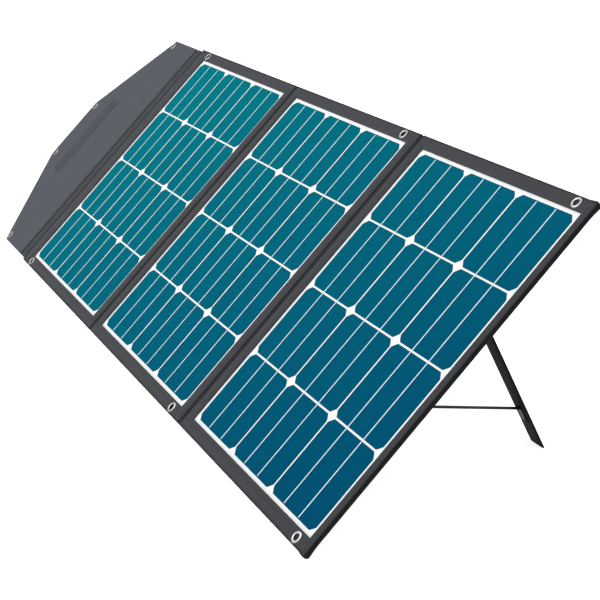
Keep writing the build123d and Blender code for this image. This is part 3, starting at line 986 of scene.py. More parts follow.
# %% Back covers
def back_height(side):
    """Height of a back cover: made like the front's, but it crowns backwards."""
    limits = cover_limits(side)

    def height(station, up):
        outer = np.maximum(outer_distance(limits, station, up), 0.0)
        roll = 1.2 * np.exp(-outer / 0.12) + 0.5 * np.exp(-outer / 0.8)
        crown = 0.35 * (1 - np.exp(-outer / 9.0))
        row = 0.3 * bell(outer, STITCH_INSET, 1.1)
        pucker = 0.10 * np.sin((station - up) * RIPPLE) * bell(outer, STITCH_INSET, 3.0)
        soft = wave(station, up, 0.18, seed=SIDES.index(side) + 11) * np.clip(outer / 20, 0, 1)
        return roll + row - crown + pucker + soft - 0.05

    return height


for side in SIDES:
    stations, ups = cover_spacing(side)
    pieces[f"{side}_back"] = padded_sheet(
        f"{side}_back_cloth",
        stations,
        ups,
        back_height(side),
        cover_cloth,
        centres=grommet_centres(side),
        back=True,
    )
    station, up = PLANES[f"{side}_back_cloth"].T
    held = outer_distance(cover_limits(side), station, up) < HELD_EDGE
    held |= window_distance(window_limits(side), station, up) < WINDOW - LAMINATE_MARGIN
    held |= held_round(grommet_centres(side), station, up)
    puffed(pieces[f"{side}_back"], held, -1.0)
    thicken(pieces[f"{side}_back"], 0.6)
    print(side, "back cloth", len(pieces[f"{side}_back"].data.polygons), "faces")

# %% [markdown]
# ## Binding tape
# The outer edges are bound with a narrow folded tape. Its section is a C, and it is carried along the edge.
# At the right field's two outer corners the tape is folded over itself, which leaves a small lump.

# %% Binding tape
TAPE = np.array(
    [
        (3.2, 7.02), (2.2, 7.3), (1.1, 7.3), (0.35, 7.0), (-0.1, 6.2), (-0.25, 4.8),
        (-0.25, 2.2), (-0.1, 0.8), (0.35, 0.0), (1.1, -0.3), (2.2, -0.3), (3.2, -0.02),
        (3.1, 0.4), (2.1, 0.5), (1.4, 0.7), (1.05, 1.2), (0.95, 2.4), (0.95, 4.6),
        (1.05, 5.8), (1.4, 6.3), (2.1, 6.5), (3.1, 6.6),
    ]
)
TAPE_TUBE = 0.9
TAPE_STEP = 4.0
CORNER_RADIUS = 4.0


def edge_path(corners, radius):
    """An open path along straight edges with round corners: places, inward normals, corner nearness."""
    corners = np.asarray(corners, float)
    places, normals = [], []
    for number in range(len(corners) - 1):
        start, end = corners[number], corners[number + 1]
        along = (end - start) / np.linalg.norm(end - start)
        inward = np.array([-along[1], along[0]])
        low = radius if number > 0 else 0.0
        high = np.linalg.norm(end - start) - (radius if number < len(corners) - 2 else 0.0)
        steps = np.linspace(low, high, int((high - low) / TAPE_STEP) + 2)
        places.append(start + steps[:, None] * along)
        normals.append(np.repeat(inward[None, :], len(steps), axis=0))
        if number < len(corners) - 2:
            turn = corners[number + 2] - end
            turn = turn / np.linalg.norm(turn)
            centre = end - along * radius + turn * radius
            angle = np.linspace(0, np.pi / 2, 9)[1:-1, None]
            outward = -inward * np.cos(angle) + along * np.sin(angle)
            places.append(centre + outward * radius)
            normals.append(-outward)
    places, normals = np.concatenate(places), np.concatenate(normals)
    near = np.zeros(len(places))
    for corner in corners[1:-1]:
        near += bell(np.hypot(*(places - corner).T), 3.0, 9.0)
    return places, normals, near


def tape_points(corners):
    """The tape's section at each place of the path, swollen at corners and slightly uneven."""
    places, normals, near = edge_path(corners, CORNER_RADIUS)
    length = lengths(places)
    uneven = 0.08 * np.sin(length * 2 * np.pi / 23.0) + 0.05 * np.sin(length * 2 * np.pi / 9.0)
    outer_side = TAPE[None, :, 0] < TAPE_TUBE
    inset = TAPE[None, :, 0] - (near * 1.3 + uneven)[:, None] * outer_side
    out = FRONT / 2 + (TAPE[None, :, 1] - FRONT / 2) * (1 + near * 0.20)[:, None]
    place = places[:, None, :] + normals[:, None, :] * inset[:, :, None]
    points = panel(place[..., 0], place[..., 1], out)
    points[..., 2] = np.maximum(points[..., 2], 0.0)
    return points, strip_map(lengths(TAPE), length)


def joined(name, parts, material):
    """One mesh object from several (points, faces, cloth) pieces."""
    points, faces, cloth, start = [], [], [], 0
    for part_points, part_faces, part_cloth in parts:
        flat = part_points.reshape(-1, 3)
        points.append(flat)
        faces.append(part_faces + start)
        cloth.append(part_cloth.reshape(-1, 2))
        start += len(flat)
    return mesh_object(name, *map(np.concatenate, (points, faces, cloth)), material)


for side in SIDES:
    left, right = FIELD_EDGES[side]
    if side == "right":
        runs = [[(left, 0), (right, 0), (right, PANEL_HEIGHT), (left, PANEL_HEIGHT)]]
    else:
        runs = [[(left, 0), (right, 0)], [(right, PANEL_HEIGHT), (left, PANEL_HEIGHT)]]
    parts = []
    for corners in runs:
        points, cloth = tape_points(corners)
        parts.append((points, capped_faces(*points.shape[:2]), cloth))
    pieces[f"{side}_binding"] = joined(f"{side}_binding_tape", parts, tape_cloth)
    print(side, "binding", len(pieces[f"{side}_binding"].data.polygons), "faces")

# %% [markdown]
# ## Grooves
# Between two fields the cloth runs down one wall, across a strip and up the other wall. It has to bend when
# the panel folds; here each groove is one piece.


# %% Grooves
GROOVE_FLOOR = 2.1
GROOVE_BACK = 0.95


def groove_points(station, low, high, top, seed):
    """A valley carried up the panel: floor + rise x (s / half)^2.2 in front, a low hump behind."""
    half = HALF_GROOVE + 0.35
    across = np.linspace(-half, half, 17)
    front = GROOVE_FLOOR + (top - GROOVE_FLOOR) * (np.abs(across) / half) ** 2.2
    rear = GROOVE_BACK + 0.25 * np.cos(across / half * np.pi / 2)
    profile_s = np.concatenate([across, across[::-1]])
    profile_n = np.concatenate([front, rear[::-1]])
    ups = np.linspace(low, high, 141)
    uneven = 0.18 * wave(0.0, ups, 1.0, seed) + 0.10 * np.sin(ups * 2 * np.pi / 7.0)
    lift = np.concatenate([np.cos(across / half * np.pi / 2), np.zeros(len(across))])
    out = profile_n[None, :] + uneven[:, None] * lift[None, :]
    points = panel(station + profile_s[None, :], ups[:, None], out)
    return points, strip_map(lengths(np.column_stack([profile_s, profile_n])), ups)


GROOVES = {
    "left_middle": (LEFT_MIDDLE, "left_field", "middle_field", 5.4, 1.4, cover_cloth),
    "middle_right": (MIDDLE_RIGHT, "middle_field", "right_field", 5.4, 1.4, cover_cloth),
    "spine": (SPINE_HINGE, "left_field", "spine", 4.2, 3.6, groove_cloth),
    "flap": (FLAP_HINGE, "spine", "flap", 4.2, 3.6, groove_cloth),
}
for number, (name, row) in enumerate(GROOVES.items()):
    station, first, second, top, end, material = row
    points, cloth = groove_points(station, end, PANEL_HEIGHT - end, top, seed=30 + number)
    groove = tube(f"{name}_groove", points, cloth, material)
    pieces[f"{name}_groove"] = groove
    print(name, "groove", len(groove.data.polygons), "faces")

# %% [markdown]
# ## Flap and spine
# The flap has six sides: it is as tall as the fields up to its shoulders, and then narrows to its nose. Its
# two covers meet in a turned hem. The spine is a narrow padded bar with a webbing handle behind it.

# %% Flap covers
SLANT = np.array([FLAP_SHOULDER - FLAP_NOSE, FLAP_HALF - FLAP_NOSE_HALF])
SLANT_LENGTH = float(np.hypot(*SLANT))
FLAP_MIDDLE = (FLAP_BACK + FLAP_FRONT) / 2


def flap_half(station):
    """Half the flap's height at a station: even up to the shoulder, then straight down to the nose."""
    share = np.clip((FLAP_SHOULDER - station) / SLANT[0], 0, 1)
    return FLAP_HALF - share * SLANT[1]


def flap_shape(station, share):
    """Turn (station, share from -1 to 1) into the flap's outline."""
    return station, MID_UP + share * flap_half(station)


def flap_distance(station, up):
    """Distance to the nearest of the flap's six edges."""
    off = np.abs(up - MID_UP)
    slanted = (SLANT[1] * (station - FLAP_SHOULDER) - SLANT[0] * (off - FLAP_HALF)) / SLANT_LENGTH
    sides = [FLAP_ROOT - station, station - FLAP_NOSE, FLAP_HALF - off, slanted]
    return np.maximum(np.minimum.reduce(sides), 0.0)


def flap_height(face):
    """Height of a flap cover. face is 1 for the front and -1 for the back."""

    def height(station, up):
        edge = flap_distance(station, up)
        thick = (FLAP_FRONT - FLAP_BACK) / 2
        roll = (thick - 0.35) * np.exp(-edge / 0.25) + 0.3 * np.exp(-edge / 1.0)
        row = 0.35 * bell(edge, STITCH_INSET, 1.1)
        soft = wave(station, up, 0.45, seed=5 if face > 0 else 6) * np.clip(edge / 25, 0, 1)
        pucker = 0.08 * np.sin((station + up) * RIPPLE) * bell(edge, STITCH_INSET, 3.0)
        return FLAP_MIDDLE + face * (thick - roll - row + pucker + 0.1) + soft

    return height


def flap_spacing():
    """Grid places of the flap: stations, and shares of its half height."""
    across = [FLAP_NOSE + OUTER_STEPS, FLAP_ROOT - OUTER_STEPS, [FLAP_SHOULDER]]
    across += [SHOULDER_EYELET + GROMMET_STEPS, NOSE_EYELET + GROMMET_STEPS]
    along = [-FLAP_HALF + OUTER_STEPS * 1.5, FLAP_HALF - OUTER_STEPS * 1.5]
    along += [SHOULDER_EYELET_UP + GROMMET_STEPS, -SHOULDER_EYELET_UP + GROMMET_STEPS]
    stations = spaced(FLAP_NOSE, FLAP_ROOT, across)
    ups = spaced(-FLAP_HALF, FLAP_HALF, along)
    return stations, ups / FLAP_HALF


stations, shares = flap_spacing()
for face, name in ((1, "flap_front"), (-1, "flap_back")):
    pieces[name] = padded_sheet(
        f"{name}_cloth",
        stations,
        shares,
        flap_height(face),
        flap_cloth,
        centres=FLAP_GROMMETS,
        back=face < 0,
        shape=flap_shape,
    )
    station, up = PLANES[f"{name}_cloth"].T
    held = (flap_distance(station, up) < HELD_EDGE) | held_round(FLAP_GROMMETS, station, up)
    puffed(pieces[name], held, float(face), cap=FLAP_CAP)
    thicken(pieces[name], 0.7)
    print(name, len(pieces[name].data.polygons), "faces")


# %% Spine
def rounded_profile(half_width, half_height, count=24, power=5.0):
    """A flat closed section: |a / A|^p + |b / B|^p = 1, front side first, then back."""
    angle = np.linspace(0, np.pi, count)
    across = -np.cos(angle)
    across = np.sign(across) * np.abs(across) ** (2 / power) * half_width
    rise = np.sin(angle) ** (2 / power) * half_height
    rise[[0, -1]] = half_height * 0.04
    return (
        np.concatenate([across, across[::-1]]),
        np.concatenate([rise, -rise[::-1]]),
    )


SPINE_LEFT = FLAP_HINGE + HALF_GROOVE
SPINE_RIGHT = SPINE_HINGE - HALF_GROOVE
SPINE_MIDDLE = (SPINE_LEFT + SPINE_RIGHT) / 2
SPINE_LOW = 3.0
SPINE_HIGH = PANEL_HEIGHT - SPINE_LOW
ups = [SPINE_LOW + OUTER_STEPS, SPINE_HIGH - OUTER_STEPS, np.linspace(15, PANEL_HEIGHT - 15, 110)]
ups = np.unique(np.concatenate(ups))
across, rise = rounded_profile((SPINE_RIGHT - SPINE_LEFT) / 2 + 0.2, 2.0)
end = np.minimum(ups - SPINE_LOW, SPINE_HIGH - ups)
narrow = np.sqrt(np.clip(1 - (1 - np.clip(end / 2.5, 0, 1)) ** 2, 0.02, 1))
swell = narrow * (1 + 0.08 * wave(0.0, ups, 0.3, seed=41))
crease = 0.25 * bell(np.abs(across), 0.0, 1.2) * np.sign(rise)
out = FLAP_MIDDLE + rise[None, :] * swell[:, None] - crease[None, :]
stations = SPINE_MIDDLE + across[None, :] * (0.9 + 0.1 * narrow)[:, None]
points = panel(stations, ups[:, None], out)
cloth = strip_map(lengths(np.column_stack([across, rise])), ups)
pieces["spine"] = tube("spine_cloth", points, cloth, groove_cloth)
print("spine", len(pieces["spine"].data.polygons), "faces")

# %% [markdown]
# ## Eyelets
# A grommet is turned metal, so it is a profile carried round a circle: a tube through the cloth with a
# rolled flange on each side.


# %% Grommets
BORE = 4.5
FLANGE = [
    (BORE, 0.0), (BORE, 0.0), (4.62, 0.25), (5.0, 0.7), (5.7, 0.98), (6.6, 1.06), (7.5, 0.98), (8.2, 0.7),
    (8.5, 0.3), (8.35, 0.02), (7.4, -0.1), (5.3, -0.3), (5.3, 0.3), (7.4, 0.1), (8.35, -0.02), (8.5, -0.3),
    (8.2, -0.6), (7.5, -0.8), (6.6, -0.85), (5.7, -0.8), (5.0, -0.6), (4.62, -0.25),
]


def eyelet_points(centre, back, front):
    """A flange profile carried round a circle at (station, up)."""
    radius, rise = np.array(FLANGE).T
    base = np.where(np.arange(len(radius)) < 12, front, back)
    base[0] = back + 1.0
    base[1] = front - 1.0
    angle = np.linspace(0, 2 * np.pi, 44, endpoint=False)[:, None]
    station = centre[0] + radius[None, :] * np.cos(angle)
    up = centre[1] + radius[None, :] * np.sin(angle)
    cloth = np.stack(np.broadcast_arrays(radius[None, :] * MM, angle * 5.0 * MM), axis=-1)
    return panel(station, up, (base + rise)[None, :]), cloth


def eyelets(name, centres, back, front):
    """All the eyelets of one body as one piece."""
    parts = []
    for centre in centres:
        points, cloth = eyelet_points(centre, back, front)
        faces = grid_faces(*points.shape[:2], wrap_rows=True, wrap_columns=True)
        parts.append((points, faces, cloth))
    return joined(name, parts, nickel_finish)


for side in SIDES:
    pieces[f"{side}_eyelets"] = eyelets(f"{side}_eyelets", grommet_centres(side), 0.0, FRONT)
pieces["flap_eyelets"] = eyelets("flap_eyelets", FLAP_GROMMETS, FLAP_BACK, FLAP_FRONT)
print("eyelets", 2 * len(SIDES) + len(FLAP_GROMMETS))

# %% [markdown]
# ## Legs
# A leg is a stiff board in a flat cloth sleeve. Its own directions are: down the leg, away from the panel,
# and across its width. The foot is cut level with the floor. A sewn tab hinges it to the back of the
# field, and a webbing strap stops it.

# %% The leg's own directions
LEG_OPEN = math.radians(73.0)
PIVOT_UP = 406.5
PIVOT_BEHIND = 4.9
LEG_WIDTH = 32.0
LEG_THICK = 4.0
LEG_TURN = LEAN + LEG_OPEN
LEG_DROP = PIVOT_UP * UP_SIN - PIVOT_BEHIND * UP_COS
LEG_STATION = {"left": 137.0, "right": 2 * FIELD_STEP + LATTICE_WIDTH - 137.0}


def leg(side, down, away, across):
    """Places of points given down a leg from its pivot, away from the panel, and across its width."""
    down, away, across = np.broadcast_arrays(
        np.asarray(down, float), np.asarray(away, float), np.asarray(across, float)
    )
    pivot = panel(LEG_STATION[side], PIVOT_UP, -PIVOT_BEHIND)
    x = pivot[0] + across * MM
    y = pivot[1] + (-down * math.cos(LEG_TURN) + away * math.sin(LEG_TURN)) * MM
    z = pivot[2] + (-down * math.sin(LEG_TURN) - away * math.cos(LEG_TURN)) * MM
    return np.stack([x, y, z], axis=-1)


def leg_end(away):
    """How far down the leg the floor is, for a point that is so far away from the leg's middle."""
    return (LEG_DROP - away * math.cos(LEG_TURN)) / math.sin(LEG_TURN)


print("leg length", round(leg_end(0.0), 1), "mm")


# %% Leg sleeves
LEG_TOP = 2.3


def sleeve(side):
    """A flat section carried down the leg, rounded at the top, cut level at the foot."""
    across, away = rounded_profile(LEG_WIDTH / 2, LEG_THICK / 2, count=30, power=4.0)
    down = [OUTER_STEPS - LEG_TOP, np.linspace(9, 300, 60), leg_end(0.0) - OUTER_STEPS]
    down = np.unique(np.concatenate(down))
    share = (down + LEG_TOP) / (leg_end(0.0) + LEG_TOP)
    top = np.sqrt(np.clip(1 - (1 - np.clip((down + LEG_TOP) / 2.5, 0, 1)) ** 2, 0.01, 1))
    foot = 1 - 0.12 * bell(leg_end(0.0) - down, 0.0, 1.5)
    seam = 0.35 * bell(np.abs(across), LEG_WIDTH / 2 - 4.0, 1.0)
    thick = (away - np.sign(away) * seam)[None, :] * (top * foot)[:, None]
    thick = thick + 0.12 * wave(0.0, down, 1.0, seed=51)[:, None]
    reach = down[:, None] + share[:, None] * (leg_end(thick) - leg_end(0.0))
    points = leg(side, reach, thick, across[None, :] * (0.97 + 0.03 * top)[:, None])
    points[..., 2] = np.maximum(points[..., 2], 0.0)
    cloth = strip_map(lengths(np.column_stack([across, away])), down)
    return tube(f"{side}_leg_cloth", points, cloth, leg_cloth)


for side in LEG_STATION:
    pieces[f"{side}_leg"] = sleeve(side)
print("leg sleeves made")


# %% [markdown]
# Flat bands, such as the strap, its sewn ends, the hinge tab and the handle, are all one thing: a thin
# section carried along a line in the leg's or the panel's side view. The line is given as places and the
# band gets its thickness square to it.


# %% Bands along a line
def rounded_line(corners, radius, step=2.5):
    """A side-view line with round corners: arcs of one radius between straight runs."""
    corners = np.asarray(corners, float)
    places = [corners[:1]]
    for before, corner, after in zip(corners[:-2], corners[1:-1], corners[2:]):
        arrive = (corner - before) / np.linalg.norm(corner - before)
        leave = (after - corner) / np.linalg.norm(after - corner)
        turn = math.acos(float(np.clip(arrive @ leave, -1, 1)))
        cut = radius * math.tan(turn / 2)
        share = np.linspace(0, 1, 9)[:, None]
        start, end = corner - arrive * cut, corner + leave * cut
        places.append((1 - share) ** 2 * start + 2 * share * (1 - share) * corner + share**2 * end)
    places.append(corners[-1:])
    places = np.concatenate(places)
    length = np.concatenate([[0], np.cumsum(np.hypot(*np.diff(places, axis=0).T))])
    even = np.linspace(0, length[-1], int(length[-1] / step) + 2)
    return np.stack([np.interp(even, length, places[:, k]) for k in (0, 1)], axis=-1), even


def band(name, place, width, thickness, line, material, radius=2.0, step=2.5, count=12):
    """A thin rounded section carried along a side-view line. place(a, b, across) gives the room."""
    line, length = rounded_line(line, radius, step)
    ahead = np.gradient(line, axis=0)
    ahead /= np.linalg.norm(ahead, axis=1)[:, None]
    normal = np.stack([-ahead[:, 1], ahead[:, 0]], axis=-1)
    across, rise = rounded_profile(width / 2, thickness / 2, count=count, power=6.0)
    side_a = line[:, None, 0] + normal[:, None, 0] * rise[None, :]
    side_b = line[:, None, 1] + normal[:, None, 1] * rise[None, :]
    points = place(side_a, side_b, across[None, :])
    cloth = np.stack(np.broadcast_arrays(across[None, :] * MM, length[:, None] * MM), axis=-1)
    return tube(name, points, cloth, material, flip=True)


def on_back(station):
    """Side view of the panel's back at a station: up the panel, and out of the back."""
    return lambda up, behind, across: panel(station + across, up, -behind)


def to_side(side, down, away):
    """A leg's own place in the side view of the panel's back, as (up, behind)."""
    spot = leg(side, down, away, 0.0)
    y = (spot[1] - EDGE_Y) / MM
    z = spot[2] / MM
    return y * UP_COS + z * UP_SIN, y * UP_SIN - z * UP_COS


STRAP_UP = 171.0
STRAP_DOWN = 246.0
STRAP_CUTS = np.array([0.0, 0.03, 0.14, 0.5, 0.86, 0.97, 1.0])


def turned(spots):
    """The angle that side-view places have turned through about the leg's pivot, from the panel's back."""
    return np.arctan2(spots[..., 1] - PIVOT_BEHIND, PIVOT_UP - spots[..., 0])


def strap_joints(low, high):
    """Where the strap's parts meet, and how far along the blend each meeting place is.

    The strap lies flat when the leg is folded if a place at angle a goes w = (a - f) / LEG_OPEN of the
    leg's way, f being its angle when folded. A blend goes 3 t^2 - 2 t^3 of the way at t along it, so
    t = 1/2 - sin(asin(1 - 2 w) / 3) at each meeting place.
    """
    spots = low + STRAP_CUTS[:, None] * (high - low)
    folded = turned(low) + STRAP_CUTS * (turned(high) - LEG_OPEN - turned(low))
    share = np.clip((turned(spots) - folded) / LEG_OPEN, 0, 1)
    return spots, 0.5 - np.sin(np.arcsin(1 - 2 * share) / 3)


STRAP_BLENDS = {}
for side, station in LEG_STATION.items():
    view = on_back(station)
    pieces[f"{side}_tab"] = band(
        f"{side}_leg_tab",
        view,
        LEG_WIDTH,
        1.0,
        [
            (PIVOT_UP + 42.0, 0.75),
            to_side(side, -4.0, 3.3),
            to_side(side, 30.0, 3.1),
        ],
        leg_cloth,
        radius=3.0,
        step=1.5,
    )
    end = to_side(side, STRAP_DOWN, -LEG_THICK / 2 - 0.7)
    spots, ahead = strap_joints(np.array([STRAP_UP, 1.5]), np.array(end))
    for index in range(len(spots) - 1):
        line = [tuple(spots[index]), tuple(spots[index + 1])]
        if index == 0:
            line = [(STRAP_UP - 20.0, 1.6), *line]
        if index == len(spots) - 2:
            line = [*line, to_side(side, STRAP_DOWN + 20.0, -LEG_THICK / 2 - 1.5)]
        key = f"{side}_strap_{index + 1}"
        pieces[key] = band(f"{side}_leg_strap_band_{index + 1}", view, 10.0, 1.1, line, band_cloth, step=2.0)
        reach = (spots[index + 1] - spots[index]) / (ahead[index + 1] - ahead[index])
        begin = spots[index] - ahead[index] * reach
        STRAP_BLENDS[key] = [view(*place, 0.0) for place in (begin, begin + reach)]
    pieces[f"{side}_back_patch"] = band(
        f"{side}_back_strap_end",
        view,
        16.0,
        1.0,
        [(STRAP_UP - 24.0, 0.75), (STRAP_UP, 0.75)],
        band_cloth,
        step=2.0,
    )
    low = to_side(side, STRAP_DOWN, -LEG_THICK / 2 - 0.5)
    high = to_side(side, STRAP_DOWN + 24.0, -LEG_THICK / 2 - 0.5)
    pieces[f"{side}_leg_patch"] = band(
        f"{side}_leg_strap_end", view, 16.0, 1.0, [low, high], leg_cloth, step=2.0
    )
    print(side, "leg bands made")

# %% Handle
pieces["handle"] = band(
    "carry_handle_band",
    on_back(SPINE_MIDDLE),
    18.0,
    2.4,
    [
        (MID_UP - 85.0, 0.3 - FLAP_BACK + 1.4),
        (MID_UP - 58.0, 0.3 - FLAP_BACK + 1.4),
        (MID_UP - 41.0, 26.0),
        (MID_UP + 41.0, 26.0),
        (MID_UP + 58.0, 0.3 - FLAP_BACK + 1.4),
        (MID_UP + 85.0, 0.3 - FLAP_BACK + 1.4),
    ],
    band_cloth,
    radius=12.0,
    step=2.5,
    count=16,
)
print("handle", len(pieces["handle"].data.polygons), "faces")


# %% [markdown]
# Hook and loop patches keep the flap shut. They are thin tufted sheets with a sewn border.


# %% Closure patches
def patch(name, centre, size, base, rise, material, back=False):
    """A thin sheet with soft rolled edges: rise x (1 - e^(-d / 0.35)) over its base."""
    half_w, half_h = size[0] / 2, size[1] / 2
    limits = (centre[0] - half_w, centre[0] + half_w, centre[1] - half_h, centre[1] + half_h)
    sign = -1.0 if back else 1.0

    def height(station, up):
        edge = np.maximum(outer_distance(limits, station, up), 0.0)
        body = rise * (1 - np.exp(-edge / 0.35)) - 0.25 * bell(edge, 3.0, 0.8)
        return base + sign * (body + 0.05 * np.sin(station * 2.1) * np.sin(up * 1.9))

    stations = spaced(limits[0], limits[1], [limits[0] + OUTER_STEPS[:8], limits[1] - OUTER_STEPS[:8]], 3.0)
    ups = spaced(limits[2], limits[3], [limits[2] + OUTER_STEPS[:8], limits[3] - OUTER_STEPS[:8]], 3.0)
    return thicken(padded_sheet(name, stations, ups, height, material, back=back), 0.6)


def node_middle(node):
    """The (station, up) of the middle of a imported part."""
    low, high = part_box(node)
    middle = (low + high) / 2
    station = (middle.x - STATION_ZERO) / MM
    y, z = (middle.y - EDGE_Y) / MM, middle.z / MM
    return station, y * UP_COS + z * UP_SIN


pieces["hook"] = patch(
    "closure_hook", node_middle("closure_hook_patch"), (40.0, 200.0), FLAP_FRONT + 0.2, 0.8, hook_pile
)
pieces["loop"] = patch(
    "closure_loop", node_middle("closure_loop_patch"), (70.0, 230.0), -0.4, 0.7, loop_pile, back=True
)
print("closure patches made")

# %% [markdown]
# ## Stitches
# A stitch is a short twisted bead that dips into the cloth at both ends. Hundreds of them follow the rows
# that the covers already sink along. Each has only a few faces.

# %% Stitch rows
STITCH_PITCH = 4.0
STITCH_LONG = 3.1
STITCH_WIDE = 0.6
BEAD_SHARES = np.array([-0.5, -0.25, 0.25, 0.5])
BEAD_SIZES = np.array([0.35, 1.0, 1.0, 0.35])
BEAD_DROPS = np.array([-0.25, 0.0, 0.0, -0.25])


def stitch_arrays(starts, ends, height, sign=1.0):
    """Beads evenly spaced along straight rows from starts to ends, in (station, up).

    Each bead is a four-sided section carried along it, thinner and lower at its ends.
    """
    beads, faces, start_number = [], [], 0
    for start, end in zip(np.asarray(starts, float), np.asarray(ends, float)):
        along = end - start
        length = np.linalg.norm(along)
        along = along / length
        side_way = np.array([-along[1], along[0]])
        count = max(int(length / STITCH_PITCH), 1)
        centre = start + along * ((np.arange(count) + 0.5) * length / count)[:, None]
        spine_line = centre[:, None, :] + along * (BEAD_SHARES * STITCH_LONG)[None, :, None]
        angle = np.arange(4) * np.pi / 2
        wide = np.cos(angle)[None, :] * BEAD_SIZES[:, None] * STITCH_WIDE / 2
        tall = np.sin(angle)[None, :] * BEAD_SIZES[:, None] * STITCH_WIDE / 2
        spot = spine_line[:, :, None, :] + side_way * wide[None, :, :, None]
        out = height(spine_line[..., 0], spine_line[..., 1])[:, :, None]
        out = out + sign * (tall[None] + BEAD_DROPS[None, :, None] + 0.1)
        points = panel(spot[..., 0], spot[..., 1], out)
        quads = capped_faces(4, 4, flip=sign < 0)
        beads.append(points.reshape(-1, 3))
        numbers = quads[None] + (np.arange(count) * 16)[:, None, None] + start_number
        faces.append(numbers.reshape(-1, 4))
        start_number += count * 16
    return np.concatenate(beads), np.concatenate(faces)


def box_rows(left, right, low, high):
    """The four rows of a sewn rectangle, as starts and ends."""
    corner = [(left, low), (right, low), (right, high), (left, high)]
    return corner, corner[1:] + corner[:1]


def sewn(name, rows, height, material, sign=1.0):
    """One piece of stitches from several sets of rows."""
    starts = [start for row in rows for start in row[0]]
    ends = [end for row in rows for end in row[1]]
    points, faces = stitch_arrays(starts, ends, height, sign)
    return mesh_object(name, points, faces, None, material)


def inset_limits(limits, inset):
    """A rectangle with each side moved inwards."""
    return limits[0] + inset, limits[1] - inset, limits[2] + inset, limits[3] - inset


for side in SIDES:
    outline = box_rows(*inset_limits(cover_limits(side), STITCH_INSET))
    opening = box_rows(*inset_limits(window_limits(side), -WINDOW_STITCH))
    pieces[f"{side}_front_stitches"] = sewn(
        f"{side}_front_stitches", [outline, opening], front_height(side), cover_thread
    )
    pieces[f"{side}_back_stitches"] = sewn(
        f"{side}_back_stitches", [outline], back_height(side), cover_thread, sign=-1.0
    )
print("field stitches", sum(len(pieces[f"{side}_front_stitches"].data.polygons) for side in SIDES), "faces")


# %% Flap stitches
def flap_rows(inset):
    """The six rows of the flap's outline, moved inwards."""
    root, nose = FLAP_ROOT - inset, FLAP_NOSE + inset
    slope = SLANT[1] / SLANT[0]
    high = FLAP_HALF - inset
    shoulder = FLAP_SHOULDER - (inset - inset * SLANT_LENGTH / SLANT[0]) / slope
    nose_half = FLAP_NOSE_HALF + inset * slope - inset * SLANT_LENGTH / SLANT[0]
    corner = [
        (root, MID_UP - high), (root, MID_UP + high), (shoulder, MID_UP + high),
        (nose, MID_UP + nose_half), (nose, MID_UP - nose_half), (shoulder, MID_UP - high),
    ]
    return corner, corner[1:] + corner[:1]


for face, name in ((1, "flap_front_stitches"), (-1, "flap_back_stitches")):
    pieces[name] = sewn(name, [flap_rows(STITCH_INSET)], flap_height(face), cover_thread, sign=float(face))
print("flap stitches made")

# %% [markdown]
# ## Joining the pieces to the bodies
# Each piece rides on its body, and the imported part it stands for is hidden. Pieces
# across a joint get their placement baked in instead.

# %% Ride and replace
BODY = {"left": "left_field", "middle": "middle_field", "right": "right_field"}


def settle(key, body, slot, *stands_for, fill=None):
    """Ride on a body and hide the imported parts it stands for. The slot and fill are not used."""
    thing = pieces[key]
    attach(thing, body)
    if stands_for:
        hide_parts(*stands_for)


def across_joint(key, first, second, start, end, slot, *stands_for):
    """Bake a piece's placement into its mesh and hide the imported parts it stands for. The two bodies, the
    start and end places and the slot are not used.
    """
    thing = pieces[key]
    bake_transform(thing)
    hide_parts(*stands_for)


for side in SIDES:
    body = BODY[side]
    settle(f"{side}_front", body, "cover_fabric", f"{side}_front_cover", fill=0.5)
    settle(f"{side}_back", body, "cover_fabric", f"{side}_back_cover", fill=0.4)
    settle(f"{side}_binding", body, "binding_tape", f"{side}_edge_binding")
    settle(f"{side}_eyelets", body, "grommet_metal", f"{side}_grommets")
    settle(f"{side}_front_stitches", body, "binding_tape")
    settle(f"{side}_back_stitches", body, "binding_tape")
settle("flap_front", "flap", "flap_fabric", "flap_front_cover", fill=0.4)
settle("flap_back", "flap", "flap_fabric", "flap_back_cover", fill=0.4)
settle("flap_eyelets", "flap", "grommet_metal", "flap_grommets")
settle("flap_front_stitches", "flap", "flap_fabric")
settle("flap_back_stitches", "flap", "flap_fabric")
settle("hook", "flap", "hook_and_loop", "closure_hook_patch")
settle("loop", "middle_field", "hook_and_loop", "closure_loop_patch")
settle("spine", "spine", "flap_fabric", "flap_spine", fill=0.6)
settle("handle", "spine", "webbing", "carry_handle")

for name, row in GROOVES.items():
    station, first, second = row[:3]
    low_side = panel(station - HALF_GROOVE, MID_UP, 0.0)
    high_side = panel(station + HALF_GROOVE, MID_UP, 0.0)
    if name in ("spine", "flap"):
        low_side, high_side = high_side, low_side
    strip = f"{name}_hinge_strip"
    slot = "cover_fabric" if "_" in name else "flap_fabric"
    across_joint(f"{name}_groove", first, second, low_side, high_side, slot, strip)

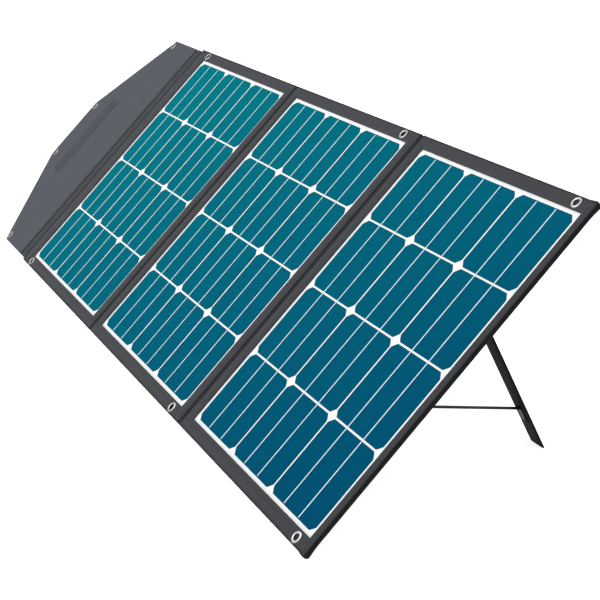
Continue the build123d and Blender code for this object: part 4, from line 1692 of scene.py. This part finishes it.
for side, station in LEG_STATION.items():
    field, body = f"{side}_field", f"{side}_leg"
    settle(f"{side}_leg", body, "leg_fabric", f"{side}_leg_sleeve")
    settle(f"{side}_back_patch", field, "webbing", f"{side}_back_strap_patch")
    settle(f"{side}_leg_patch", body, "webbing", f"{side}_leg_strap_patch")
    across_joint(
        f"{side}_tab",
        field,
        body,
        panel(station, PIVOT_UP + 12.0, 0.0),
        leg(side, 12.0, 3.0, 0.0),
        "leg_fabric",
        f"{side}_leg_hinge_tab",
    )
    for key, (start, end) in STRAP_BLENDS.items():
        if key.startswith(side):
            across_joint(key, field, body, start, end, "webbing", f"{side}_leg_strap")
print("pieces joined to their bodies")

# %% [markdown]
# ## Studio
# A wide pale floor and a few large soft lamps give even light with hardly a shadow. The main lamp is at the
# upper left, so the right end wall of the panel stays dark.


# %% Floor
FLOOR_GLOW = 0.88


def floor():
    """A pale matt floor with a very faint cloudiness and a little light of its own."""
    finish = Finish("studio_floor")
    where = finish.place()
    cloud = finish.noise(where, 1.5, 2.0)
    material = finish.shade(
        Base_Color=finish.mix(cloud, rgb(247, 247, 247), rgb(252, 252, 252)),
        Roughness=0.9,
        Specular_IOR_Level=0.1,
        Emission_Color=(1.0, 1.0, 1.0, 1.0),
        Emission_Strength=FLOOR_GLOW,
    )
    reach = 30.0
    line = np.linspace(-reach, reach, 3)
    x, y = np.meshgrid(line, line, indexing="xy")
    points = np.stack([x, y, np.full_like(x, -0.0002)], axis=-1)
    thing = mesh_object("studio_floor", points, grid_faces(3, 3), None, material)
    thing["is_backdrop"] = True


floor()


# %% Lamps
def lamp(name, place, target, size, watts):
    """A square soft lamp that looks at a target."""
    data = bpy.data.lights.new(name, "AREA")
    data.size = size
    data.energy = watts
    thing = bpy.data.objects.new(name, data)
    thing.location = place
    bpy.context.scene.collection.objects.link(thing)
    aim(thing, np.subtract(target, place))


lamp("key_lamp", (-1.6, -3.0, 3.4), (0.0, 0.0, 0.2), 3.0, 144.0)
lamp("top_lamp", (0.3, 0.8, 4.2), (0.0, 0.0, 0.0), 4.0, 72.0)
world = bpy.data.worlds.new("studio")
world.use_nodes = True
background = world.node_tree.nodes["Background"]
background.inputs["Color"].default_value = (1.0, 1.0, 1.0, 1.0)
background.inputs["Strength"].default_value = 0.26
bpy.context.scene.world = world
bpy.context.scene.view_settings.view_transform = "Standard"
print("studio ready")

# %% Size and finish
low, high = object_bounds()
print("size grows by", [round(float(a - b), 4) for a, b in zip([*low, *high], [*cad_low, *cad_high])])
